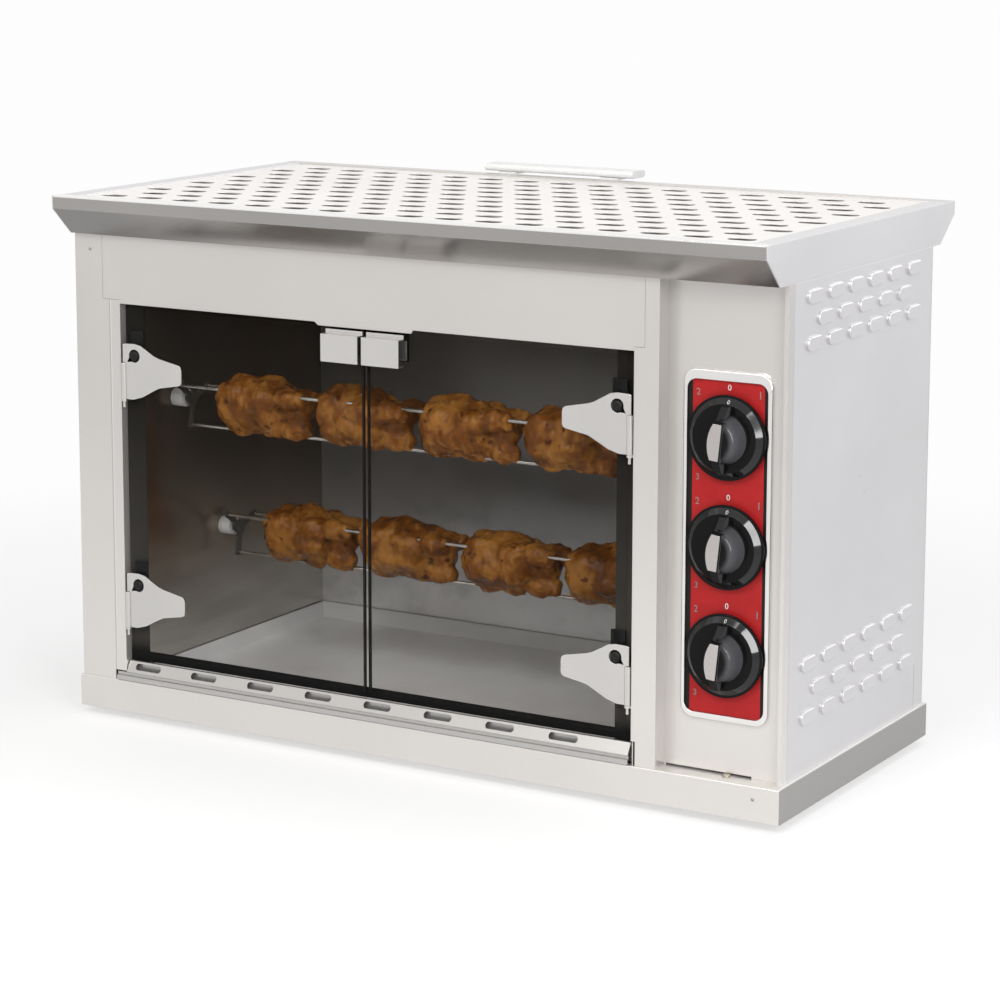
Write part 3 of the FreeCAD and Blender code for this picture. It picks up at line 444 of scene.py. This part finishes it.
class ROTISSERIE_OT_case(bpy.types.Operator):
    """Brushed steel of the base, the case and the perforated top."""
    bl_idname = "rotisserie.case"
    bl_label = "Case"

    def execute(self, context):
        s = context.scene.rotisserie_finish
        steel = tuple(s.steel)
        rough = s.steel_roughness
        satin = s.satin
        dress(brushed("steel_across", steel, rough, X, satin), "front_lintel", "cornice_rear", "rear_panel")
        dress(brushed("steel_upright", steel, rough, Z, satin, painted_foot_light=POST_FOOT_LIGHT),
              "right_front_post", "control_panel")
        seam = span("left_front_post")[1].x - POST_SEAM_INSET
        dress(brushed("steel_post", steel, rough, Z, satin, painted_foot_light=POST_FOOT_LIGHT, seam=seam), "left_front_post")
        # Painted light: the sides are the case steel drawn brighter and bluer.
        side = tuple(channel * factor for channel, factor in zip(steel, SIDE_LIGHT_TINT))
        dress(brushed("steel_deep", side, rough, Y, satin),
              "left_side_panel", "right_side_panel", "cornice_end_left", "cornice_end_right")
        # Painted light: the top grille is the case steel drawn 1.5 times lighter, as lit from above.
        dress(brushed("steel_top", tone(steel, 1.5), rough, X, satin), "top_grille")
        # Painted light and shade: the base is drawn 1.22 times lighter than the case, its right face darker.
        dress(brushed("steel_base", tone(steel, 1.22), rough, X, satin, right_side_shade=0.45), "base_plinth")
        # Painted reflection: the polished cornice is drawn at 0.70 of the case steel for the dark
        # surroundings it mirrors.
        low, high, middle = span("cornice_front")
        near, far, dark, light = UNDERSIDE_REFLECTION
        dress(brushed("steel_polished_dark_reflection", tone(steel, 0.70), 0.17, X, smudge=0.08, stretch=0.02, rim=high.z,
                      underside_reflection=(low.x + near, low.x + far, dark, light)), "cornice_front")
        dress(plain("spacer_paint", (0.66, 0.66, 0.655), 0.4, spots=0.06), "rear_spacer")
        dress(plain("foot_grey", (0.34, 0.34, 0.34), 0.4), "feet")
        dress(plain("screw_steel", (0.40, 0.36, 0.30), 0.3, 1.0), "case_screws")
        return {"FINISHED"}


# Cavity, burners and tray

LINER_FOOT = 0.07
LINER_HEIGHT = 0.36
LINER_STOPS = (0.0, 0.30, 0.60, 0.95)
# Tones of the back and side walls from floor to top: heat stain and painted shade, darker upwards.
BACK_STAIN_AND_SHADE = ((0.30, 0.295, 0.29), (0.175, 0.168, 0.158), (0.110, 0.100, 0.088))
SIDE_STAIN_AND_SHADE = ((0.62, 0.60, 0.57), (0.30, 0.25, 0.20), (0.15, 0.12, 0.088), (0.105, 0.088, 0.070))
# Brown of the upright streaks painted on the side walls as a reflection of the birds.
BIRD_REFLECTION_BROWN = (0.150, 0.062, 0.022)
CEILING_LEVEL = (0.44, 0.45)
CEILING_TOP = (0.95, 0.95, 0.94)
FRAME_LEG = 0.034
FRAME_JOINT = 0.006
TRAY_FACIA = 0.011


def liner_finish(name, stain_and_shade, metallic, reflects_birds):
    """Pale at the floor and browner with height, partly heat stain and partly painted shade;
    the ceiling's upper side stays pale.
    """
    f = Finish(name)
    stain = f.noise(5.0, 4.0, 0.6)
    run = f.noise(26.0, 3.0, 0.6, along(Y, 0.12))
    x, y, z = f.axes()
    height = (z + (stain - 0.5) * 0.06 - LINER_FOOT) / LINER_HEIGHT
    # Heat stain and painted shade: the walls turn darker and browner with height.
    tint = f.ramp(height, *zip(LINER_STOPS, stain_and_shade))
    tint = f.mix(run.smooth(0.45, 0.75) * 0.25, tint, tone(stain_and_shade[2], 0.8))
    # Painted reflection: upright brown streaks on the side walls stand for the birds mirrored in them.
    if reflects_birds:
        bird_reflection = f.noise(9.0, 4.0, 0.6, along(Z, 0.35), (0.7, 0.2, 0.1))
        tint = f.mix(bird_reflection.smooth(0.52, 0.72) * height.smooth(0.15, 0.45) * 0.6, tint, BIRD_REFLECTION_BROWN)
    tint = f.mix(f.facing(Z) * z.smooth(*CEILING_LEVEL), tint, CEILING_TOP)
    grain = f.noise(500.0, 2.0, 0.5, (0.05, 0.05, 1))
    f.surface(tint, 0.25 + (stain - 0.5) * 0.1, metallic, f.bump(grain, 0.00001, 0.3),
              Specular_IOR_Level=0.3)
    return f.material


def frame_finish():
    """Near black; the legs behind the doors' outer edges are grey, darker towards the top as painted shade.
    """
    f = Finish("frame_dark")
    x, y, z = f.axes()
    blotch = f.noise(60.0, 4.0, 0.6)
    low, high, middle = span("inner_frame")
    left = 1 - x.smooth(low.x + FRAME_LEG - 0.004, low.x + FRAME_LEG)
    joint = x.smooth(high.x - FRAME_JOINT, high.x - FRAME_JOINT + 0.001)
    right = x.smooth(high.x - FRAME_LEG, high.x - FRAME_LEG + 0.004) * (1 - joint)
    legs = (left + right) * z.smooth(low.z + 0.03, low.z + 0.05)
    # Painted shade: the legs' grey darkens towards the top.
    shade = f.mix(z.smooth(0.10, 0.40), (0.060, 0.056, 0.050), (0.014, 0.012, 0.010))
    tint = f.mix(legs * (0.85 + blotch * 0.15), (0.006, 0.006, 0.006), shade)
    f.surface(tint, 0.5 + (blotch - 0.5) * 0.2, 0.0, f.bump(blotch, 0.00002, 0.3), Specular_IOR_Level=0.05)
    return f.material


def tray_finish():
    """Pale pan with a duller slotted strip in front."""
    f = Finish("tray_steel")
    x, y, z = f.axes()
    streak = f.noise(GRAIN, 2.0, 0.6, along(X))
    smear = f.noise(9.0, 3.0, 0.6)
    start = span("drip_tray")[0].y + TRAY_FACIA
    facia = 1 - y.smooth(start, start + 0.002)
    pan = f.mix(smear.smooth(0.35, 0.75), (0.96, 0.96, 0.955), (0.84, 0.835, 0.825))
    tint = f.mix(facia, pan, (0.345, 0.333, 0.320))
    tint = f.mix(facia * f.facing(Y, -1, 0.8, 0.95), tint, (0.46, 0.45, 0.44))
    tint = f.mix(streak * 0.14, tint, (0.32, 0.31, 0.30))
    f.surface(tint, 0.30 + (smear - 0.5) * 0.12, 0.15 + facia * 0.55, f.bump(smear, 0.001, 0.1))
    return f.material


def tile_finish():
    """Pale ceramic with rows of dark burner holes."""
    f = Finish("burner_tile")
    cells = f.node("ShaderNodeTexVoronoi", {"feature": "F1"},
                   {"Vector": f.place(), "Scale": 260.0, "Randomness": 0.15})
    holes = f.out(cells, "Distance").smooth(0.2, 0.45)
    f.surface(f.mix(holes, (0.16, 0.12, 0.09), (0.75, 0.68, 0.58)), 0.8, 0.0, f.bump(holes, 0.001, 0.8))
    return f.material


class ROTISSERIE_OT_cavity(bpy.types.Operator):
    """Walls with heat stain, painted shade and a painted bird reflection, dark inner frame, burners and drip
    tray.
    """
    bl_idname = "rotisserie.cavity"
    bl_label = "Cavity"

    def execute(self, context):
        wall = tuple(context.scene.rotisserie_finish.liner)
        dress(liner_finish("cavity_back", (wall, *BACK_STAIN_AND_SHADE), 0.45, False), "liner_back", "liner_ceiling")
        dress(liner_finish("cavity_side", SIDE_STAIN_AND_SHADE, 0.80, True), "liner_left", "liner_right")
        dress(frame_finish(), "inner_frame")
        dress(tray_finish(), "drip_tray")
        dress(plain("burner_steel", (0.42, 0.38, 0.34), 0.4, 1.0, 0.35, 30.0), "burner_housings")
        dress(tile_finish(), "burner_ceramics")
        return {"FINISHED"}


# Doors

JOINT_BAND = (0.0035, 0.0042)
JOINT_DENSITY = 0.97


def glass_finish(settings):
    """Clear tinted glass that is dense in the narrow band where the two panes meet."""
    f = Finish("tinted_glass")
    haze = f.noise(7.0, 3.0, 0.6)
    x, y, z = f.axes()
    meeting = (span("left_door_glass")[1].x + span("right_door_glass")[0].x) / 2
    joint = 1 - (x - meeting).distance().smooth(*JOINT_BAND)
    clear = settings.glass_density + (haze - 0.5) * 0.05
    f.surface(tuple(settings.glass), 0.02 + haze * 0.03, Alpha=clear + joint * (JOINT_DENSITY - clear),
              Specular_IOR_Level=0.07)
    return f.material


class ROTISSERIE_OT_doors(bpy.types.Operator):
    """Tinted glass, polished hinge plates and handles, black clamps."""
    bl_idname = "rotisserie.doors"
    bl_label = "Doors"

    def execute(self, context):
        dress(glass_finish(context.scene.rotisserie_finish), "left_door_glass", "right_door_glass")
        dress(brushed("polished_plate", (0.58, 0.565, 0.55), 0.24, Z, 0.85, smudge=0.03, edge=0.0006),
              "left_hinge_plates", "right_hinge_plates", "left_door_handle", "right_door_handle",
              "hinge_brackets")
        dress(plain("clamp_black", (0.008, 0.008, 0.008), 0.3, spots=0.2, Specular_IOR_Level=0.2),
              "left_hinge_backs", "right_hinge_backs")
        dress(plain("magnet_iron", (0.08, 0.08, 0.08), 0.5, 0.8), "catch_magnets")
        return {"FINISHED"}


# Label, bezel and knobs

LABEL_BORDER = (0.0378, 0.0382)
LABEL_MARKS = (("0", 0.0, 0.0475, 0.0080, "pale"), ("1", 0.0325, 0.0425, 0.0105, "grey"),
               ("2", -0.0330, 0.0410, 0.0095, "grey"), ("3", -0.0330, -0.0420, 0.0085, "grey"))
MARK_GAP = 0.0003
KNOB_HUB = (0.0195, 0.0205)
RING_START = (0.73, 0.75)
RING_END = (0.795, 0.805)
KNOB_TURN = math.radians(6)
KNOB_MARK_RADIUS = 0.0355
KNOB_MARK_DEPTH = 0.0228
KNOB_MARK_SIZE = 0.0060
KNOB_RING_TILT = 39.3


def label_finish(settings):
    """Red sheet with a black border at both long sides."""
    f = Finish("control_label")
    x, y, z = f.axes()
    border = (x - span("label_plate")[2].x).distance().smooth(*LABEL_BORDER)
    mottle = f.noise(90.0, 3.0, 0.5)
    colour = tuple(settings.label)
    red = f.mix(mottle.smooth(0.3, 0.8), colour, tone(colour, 0.9))
    f.surface(f.mix(border, red, (0.012, 0.010, 0.010)), 0.3 + (mottle - 0.5) * 0.08,
              Specular_IOR_Level=0.12)
    return f.material


def knob_finish():
    """Black plastic, its hub greyer on the right as a painted reflection, and a glossy sloping ring round
    it.
    """
    f = Finish("knob_black")
    x, y, z = f.axes()
    mottle = f.noise(300.0, 4.0, 0.6)
    tip = span("knob_1")[0].y
    front = 1 - y.smooth(tip + KNOB_HUB[0], tip + KNOB_HUB[1])
    # Painted reflection: the hub's right-facing side is drawn grey.
    hub = front * f.facing(X, 1, 0.10, 0.55)
    ring = f.facing(Y, -1, *RING_START) * (1 - f.facing(Y, -1, *RING_END))
    tint = f.mix(hub, (0.0045, 0.0045, 0.0048), (0.060, 0.061, 0.066))
    f.surface(tint, 0.10 + front * 0.22 + (mottle - 0.5) * 0.05, 0.0,
              f.bump(mottle, 0.000002, 0.4, f.rounded(0.0011, 6)),
              Specular_IOR_Level=0.1, Coat_Weight=ring * 0.7, Coat_Roughness=0.08)
    return f.material


class ROTISSERIE_OT_controls(bpy.types.Operator):
    """Red label with black borders, bright bezel, black knobs and plain numerals."""
    bl_idname = "rotisserie.controls"
    bl_label = "Controls"

    def execute(self, context):
        dress(label_finish(context.scene.rotisserie_finish), "label_plate")
        dress(brushed("bright_rim", (0.80, 0.785, 0.77), 0.13, Z, smudge=0.03, stretch=0.05),
              "control_bezel")
        black = knob_finish()
        chrome = brushed("knob_metal", (0.52, 0.49, 0.475), 0.18, Z, smudge=0.02, edge=0.0005,
                         stretch=0.05)
        prints = {"pale": plain("mark_pale", (0.62, 0.60, 0.58), 0.4, 0.0, 0.1, 200.0),
                  "grey": plain("mark_grey", (0.20, 0.17, 0.16), 0.5, 0.0, 0.1, 200.0)}
        front = span("label_plate")[0].y - MARK_GAP
        for k in KNOBS:
            dress(black, f"knob_{k}")
            dress(chrome, f"knob_{k}_face")
            low, high, middle = span(f"knob_{k}")
            for text, x, z, size, shade in LABEL_MARKS:
                place = Vector((middle.x + x, front, middle.z + z))
                digit(f"label_{k}_mark_{text}", text, place, size, prints[shade], "cabinet")
            rim = Vector((middle.x + KNOB_MARK_RADIUS * math.sin(KNOB_TURN), low.y + KNOB_MARK_DEPTH,
                          middle.z + KNOB_MARK_RADIUS * math.cos(KNOB_TURN)))
            digit(f"knob_{k}_mark", "0", rim, KNOB_MARK_SIZE, prints["pale"], f"control_knob_{k}",
                  KNOB_RING_TILT)
        return {"FINISHED"}


# Spits, drive and gas train

COLLAR_END = (0.0205, 0.0215)
TINES_START = (0.0305, 0.032)


def spit_finish():
    """Pale collar, dark neck and worn bright tines, by the distance from the left end."""
    f = Finish("spit_steel")
    start = span("upper_spit")[0].x
    x, y, z = f.axes()
    wear = f.noise(70.0, 3.0, 0.6)
    tines = x.smooth(start + TINES_START[0], start + TINES_START[1])
    collar = 1 - x.smooth(start + COLLAR_END[0], start + COLLAR_END[1])
    worn = f.mix(wear.smooth(0.4, 0.8), (0.50, 0.48, 0.45), (0.26, 0.21, 0.16))
    tint = f.mix(tines, (0.045, 0.040, 0.035), worn)
    tint = f.mix(collar, tint, (0.62, 0.62, 0.61))
    f.surface(tint, 0.16 + (wear - 0.5) * 0.1, tines * 0.9, f.bump(wear, 0.0001, 0.2))
    return f.material


class ROTISSERIE_OT_works(bpy.types.Operator):
    """Spits, bearings, gears, motor and the gas train."""
    bl_idname = "rotisserie.works"
    bl_label = "Works"

    def execute(self, context):
        dress(spit_finish(), "upper_spit", "lower_spit")
        dress(plain("collar_steel", (0.55, 0.55, 0.545), 0.2, 0.0, 0.08, 60.0), "spit_bearings")
        dress(plain("gear_steel", (0.42, 0.42, 0.41), 0.35, 1.0, 0.2, 60.0),
              "upper_drive", "lower_drive", "motor_gear")
        dress(plain("fitting_brass", (0.66, 0.49, 0.24), 0.28, 1.0, 0.2, 80.0),
              "gas_valves", "gas_inlet", *(f"knob_{k}_tap_plug" for k in KNOBS))
        dress(plain("zinc_plate", (0.58, 0.58, 0.56), 0.42, 1.0, 0.25, 40.0),
              "motor_bracket", "gas_manifold")
        dress(plain("pipe_metal", (0.72, 0.72, 0.70), 0.3, 1.0, 0.15, 50.0), "gas_pipes")
        dress(plain("motor_grey", (0.10, 0.105, 0.11), 0.45, 0.0, 0.2, 90.0), "gearmotor")
        dress(plain("gland_black", (0.02, 0.02, 0.02), 0.55), "cable_gland")
        return {"FINISHED"}


# Roast birds

PATTERNS = 3
FIRST_SEED = 11
SEED_STEP = 7
BIRD_TURNS = {"upper": (142, 22, 262, 142), "lower": (262, 142, 22, 262)}
CAD_BIRD_LENGTH = 0.10192
BIRD_SHIFT = 0.007
BIRD_RISE = 0.001
BURNT = (0.040, 0.007, 0.002)


def skin_finish(settings):
    """Glazed skin in golden and brown patches, with a painted highlight on the humps, painted shade in
    the folds, and small burnt specks and blisters.
    """
    f = Finish("roast_skin")
    skin = tuple(settings.skin)
    gold = tuple(settings.gold)
    patch = f.noise(30.0, 4.0, 0.60)
    streak = f.noise(120.0, 3.0, 0.6, (1.0, 0.5, 0.5), (1.3, 0.2, 2.2))
    grain = f.noise(330.0, 3.0, 0.6)
    burnt = f.noise(75.0, 3.0, 0.55, shift=(3.1, 1.7, 0.4))
    hump = f.out(f.node("ShaderNodeNewGeometry", {}, {}), "Pointiness")
    colour = f.ramp(patch * 0.75 + streak * 0.25, (0.38, tone(skin, 0.60)), (0.47, skin),
                    (0.55, tone(gold, 0.85)), (0.66, gold))
    # Painted shade: the folds, where the surface curves in, are drawn dark brown.
    colour = f.mix((1 - hump.smooth(0.43, 0.505)) * 0.85, colour, tone(skin, 0.20))
    # Painted highlight: the humps are drawn in a lighter gold.
    colour = f.mix(hump.smooth(0.52, 0.60) * 0.5, colour, tone(gold, 1.25))
    colour = f.mix(burnt.smooth(0.62, 0.69) * 0.85, colour, BURNT)
    height = grain * 0.25 + streak * 0.45 + patch
    f.surface(colour, 0.24 + (streak - 0.5) * 0.3, 0.0, f.bump(height, 0.0018, 1.0), Specular_IOR_Level=0.16)
    return f.material


def lump(centre, size, turn=(0.0, 0.0, 0.0)):
    """Adds one rounded mass to the bird in edit mode."""
    bpy.ops.mesh.primitive_uv_sphere_add(segments=28, ring_count=18, radius=1.0, location=centre,
                                         rotation=tuple(math.radians(a) for a in turn), scale=size)


def mass_bird(u, r, rng):
    """Adds neck, trunk, breast, wings and legs, as shares of half the length and of the radius."""

    def wobble(amount):
        return 1 + rng.uniform(-amount, amount)

    def around(angle, out):
        return out * r * math.cos(math.radians(angle)), out * r * math.sin(math.radians(angle))

    lump((-0.52 * u, 0.0, 0.0), (0.45 * u, 0.90 * r, 0.90 * r))
    lump((0.10 * u, 0.0, 0.0), (0.45 * u, 0.88 * r, 0.88 * r))
    lump((-0.90 * u, 0.0, 0.0), (0.10 * u, 0.46 * r, 0.44 * r))
    lump((0.66 * u, 0.0, 0.0), (0.30 * u, 0.50 * r, 0.50 * r))
    for place in range(3):
        lean = 120 * place + rng.uniform(-8, 8)
        y, z = around(lean, 0.52)
        lump((-0.52 * u * wobble(0.15), y, z), (0.38 * u * wobble(0.12), 0.47 * r, 0.46 * r), (lean, 0, 0))
        y, z = around(lean + 12, 0.54)
        lump((0.16 * u * wobble(0.4), y, z), (0.36 * u * wobble(0.1), 0.47 * r * wobble(0.05), 0.46 * r),
             (lean, 0, 0))
        y, z = around(lean + 60, 0.60)
        lump((-0.20 * u * wobble(0.8), y, z), (0.42 * u * wobble(0.15), 0.38 * r, 0.40 * r),
             (lean + 60, 8, 0))
        y, z = around(lean + 2, 0.58)
        lump((0.62 * u, y, z), (0.32 * u * wobble(0.1), 0.40 * r, 0.36 * r), (lean, -5, 0))
        y, z = around(lean + 4, 0.62)
        lump((0.88 * u * wobble(0.03), y, z), (0.12 * u, 0.30 * r, 0.28 * r))


def fold_skin(bird, settings, rng):
    """Rebuilds the masses as one skin and presses folds, creases and puckers into it."""
    rebuild = bird.modifiers.new("Rebuild", "REMESH")
    rebuild.mode = "VOXEL"
    rebuild.voxel_size = settings.detail
    soften = bird.modifiers.new("Soften", "SMOOTH")
    soften.factor = 0.5
    soften.iterations = 7
    layers = (("folds", "CLOUDS", 0.020, settings.wrinkle),
              ("creases", "VORONOI", 0.020, settings.wrinkle * 0.9),
              ("pucker", "CLOUDS", 0.0060, settings.wrinkle * 0.40))
    for label, kind, size, depth in layers:
        pattern = bpy.data.textures.new(f"{bird.name}_{label}", kind)
        pattern.noise_scale = size * (1 + rng.uniform(-0.12, 0.12))
        if kind == "VORONOI":
            pattern.weight_1 = -1.0
            pattern.weight_2 = 1.0
        else:
            pattern.noise_depth = 2
        fold = bird.modifiers.new(label, "DISPLACE")
        fold.texture = pattern
        fold.strength = depth
        fold.mid_level = 0.5 if kind == "CLOUDS" else 0.3
        fold.texture_coords = "LOCAL"
    calm = bird.modifiers.new("Settle", "SMOOTH")
    calm.factor = 0.4
    calm.iterations = 1
    harden(bird)
    for polygon in bird.data.polygons:
        polygon.use_smooth = True


def shape_bird(name, settings, seed):
    """Models one trussed bird along X round the origin."""
    rng = random.Random(seed)
    u = settings.length / 2
    r = settings.girth / 2
    free_hands()
    bpy.ops.mesh.primitive_uv_sphere_add(segments=40, ring_count=28, radius=1.0, location=(-0.30 * u, 0, 0))
    bird = bpy.context.active_object
    bird.name = name
    bird.data.name = name
    bird.scale = (0.60 * u, 0.90 * r, 0.90 * r)
    settle(bird)
    bpy.ops.object.mode_set(mode="EDIT")
    mass_bird(u, r, rng)
    bpy.ops.object.mode_set(mode="OBJECT")
    fold_skin(bird, settings, rng)
    return bird


class ROTISSERIE_OT_birds(bpy.types.Operator):
    """Roast birds in the places of the plain ones."""
    bl_idname = "rotisserie.birds"
    bl_label = "Birds"

    def execute(self, context):
        settings = context.scene.rotisserie_birds
        skin = skin_finish(settings)
        patterns = [shape_bird(f"bird_pattern_{i}", settings, FIRST_SEED + SEED_STEP * i)
                    for i in range(PATTERNS)]
        for shift, (row, turns) in enumerate(BIRD_TURNS.items()):
            low, high, middle = span(f"{row}_birds")
            axis = joint_place(f"{row}_spit_spin")
            pitch = (high.x - low.x - CAD_BIRD_LENGTH) / (len(turns) - 1)
            first = low.x + CAD_BIRD_LENGTH / 2 + BIRD_SHIFT
            for i, turn in enumerate(turns):
                bird = patterns[(i + shift) % PATTERNS].copy()
                bird.data = bird.data.copy()
                bird.name = f"{row}_bird_{i + 1}"
                bird.data.name = bird.name
                context.collection.objects.link(bird)
                place = Vector((first + i * pitch, axis.y, axis.z + BIRD_RISE))
                turned = Euler((math.radians(turn), 0, 0)).to_matrix().to_4x4()
                bird.data.transform(Matrix.Translation(place) @ turned)
                coated(bird, skin, f"{row}_spit_unit")
                if i == 0:
                    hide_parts(f"{row}_birds")
        free_hands()
        for pattern in patterns:
            pattern.select_set(True)
        bpy.ops.object.delete()
        return {"FINISHED"}


# Stage

FLOOR_DROP = 0.0005
STUDIO_WHITE = (0.985, 0.985, 0.985, 1)
FLOOR_REACH = (0.5, 1.6)
LAMP_AIM = Vector((0, 0, 0.25))
CAMERA_PLACE = (1.608, -2.74865, 0.9142)
CAMERA_TURN = (90 - 9.6, -0.1, 30.5)
SENSOR = 36.0
LENS_FACTOR = 3.0406
CAMERA_SHIFT = -0.12


def add_floor(width):
    """Paper-white floor that goes over into the white background with its distance."""
    free_hands()
    bpy.ops.mesh.primitive_plane_add(size=width, location=(0, 0, -FLOOR_DROP))
    floor = bpy.context.active_object
    floor.name = "studio_floor"
    settle(floor)
    bpy.ops.object.mode_set(mode="EDIT")
    bpy.ops.mesh.subdivide(number_cuts=8)
    bpy.ops.object.mode_set(mode="OBJECT")
    f = Finish("floor_white")
    x, y, z = f.axes()
    reach = (x * x + y * y) ** 0.5
    paper = f.surface((0.90, 0.90, 0.90), 0.75)
    white = f.out(f.node("ShaderNodeEmission", {}, {"Color": STUDIO_WHITE, "Strength": 1.0}))
    f.show(f.blend(f.seen() * (reach.smooth(*FLOOR_REACH) * 0.45 + 0.55), paper, white))
    floor.data.materials.append(f.material)


def add_world(scene, strength):
    """Soft light from all sides; what the camera sees of it, also mirrored, is studio white."""
    scene.world = bpy.data.worlds.new("studio")
    scene.world.use_nodes = True
    w = Nodes(scene.world.node_tree, "ShaderNodeOutputWorld")
    lit = w.out(w.node("ShaderNodeBackground", {}, {"Color": (1.0, 1.0, 1.0, 1), "Strength": strength}))
    shown = w.out(w.node("ShaderNodeBackground", {}, {"Color": STUDIO_WHITE, "Strength": 1.0}))
    w.show(w.blend(w.seen(), lit, shown))


def add_lamp(name, place, width, height, lean, power, colour):
    """An area lamp that looks at the appliance, turned by a lean about its own line of sight."""
    bpy.ops.object.light_add(type="AREA", location=place)
    lamp = bpy.context.active_object
    lamp.name = name
    lamp.data.shape = "RECTANGLE"
    lamp.data.size = width
    lamp.data.size_y = height
    lamp.data.energy = power
    lamp.data.color = colour
    aim = (LAMP_AIM - Vector(place)).to_track_quat("-Z", "Y").to_matrix()
    lamp.rotation_euler = (aim @ Euler((0, 0, math.radians(lean))).to_matrix()).to_euler()


def add_camera(scene):
    """The photograph's camera."""
    bpy.ops.object.camera_add(location=CAMERA_PLACE)
    camera = bpy.context.active_object
    camera.name = "photo_camera"
    camera.rotation_euler = Euler([math.radians(angle) for angle in CAMERA_TURN], "XYZ")
    camera.data.sensor_width = SENSOR
    camera.data.lens = SENSOR * LENS_FACTOR
    camera.data.shift_y = CAMERA_SHIFT
    camera.data.clip_end = 60.0
    scene.camera = camera


class ROTISSERIE_OT_stage(bpy.types.Operator):
    """Pale floor, soft studio light and the photograph's camera."""
    bl_idname = "rotisserie.stage"
    bl_label = "Stage"

    def execute(self, context):
        scene = context.scene
        s = scene.rotisserie_stage
        add_floor(s.floor)
        add_world(scene, s.world)
        add_lamp("key_softbox", (-1.7, -2.4, 2.2), 2.4, 2.4, 0, s.key, (1.0, 0.985, 0.965))
        add_lamp("top_softbox", (0.6, 0.2, 2.5), 1.6, 1.6, 0, s.top, (1.0, 1.0, 1.0))
        add_lamp("side_softbox", (2.3, -1.4, 1.5), 0.5, 0.5, 0, s.fill, (0.96, 0.98, 1.0))
        add_lamp("back_softbox", (1.7, 2.6, 1.3), 1.6, 1.6, 0, s.back, (0.95, 0.97, 1.0))
        add_lamp("door_softbox", (0.0, -2.0, 1.8), 1.3, 1.3, 0, s.door, (1.0, 0.985, 0.96))
        add_lamp("rim_softbox", (1.69, -1.59, 1.12), 0.22, 1.9, 20, s.rim, (1.0, 1.0, 1.0))
        add_camera(scene)
        scene.view_settings.view_transform = "Standard"
        return {"FINISHED"}


# The add-on

class ROTISSERIE_PT_panel(bpy.types.Panel):
    """The settings, and a button for each step."""
    bl_idname = "ROTISSERIE_PT_panel"
    bl_label = "Rotisserie"
    bl_space_type = "VIEW_3D"
    bl_region_type = "UI"
    bl_category = "Rotisserie"

    def draw(self, context):
        layout = self.layout
        for group in (context.scene.rotisserie_finish, context.scene.rotisserie_birds,
                      context.scene.rotisserie_stage):
            column = layout.column()
            for name in group.__annotations__:
                column.prop(group, name)
        for operator in STEPS:
            layout.operator(operator.bl_idname)


STEPS = (ROTISSERIE_OT_case, ROTISSERIE_OT_cavity, ROTISSERIE_OT_doors, ROTISSERIE_OT_controls,
         ROTISSERIE_OT_works, ROTISSERIE_OT_birds, ROTISSERIE_OT_stage)
CLASSES = (FinishSettings, BirdSettings, StageSettings, *STEPS, ROTISSERIE_PT_panel)


def register():
    for item in CLASSES:
        bpy.utils.register_class(item)
    bpy.types.Scene.rotisserie_finish = PointerProperty(type=FinishSettings)
    bpy.types.Scene.rotisserie_birds = PointerProperty(type=BirdSettings)
    bpy.types.Scene.rotisserie_stage = PointerProperty(type=StageSettings)


def unregister():
    del bpy.types.Scene.rotisserie_stage
    del bpy.types.Scene.rotisserie_birds
    del bpy.types.Scene.rotisserie_finish
    for item in reversed(CLASSES):
        bpy.utils.unregister_class(item)


def main():
    register()
    for step in STEPS:
        group, name = step.bl_idname.split(".")
        getattr(getattr(bpy.ops, group), name)()


if __name__ == "__main__":
    main()
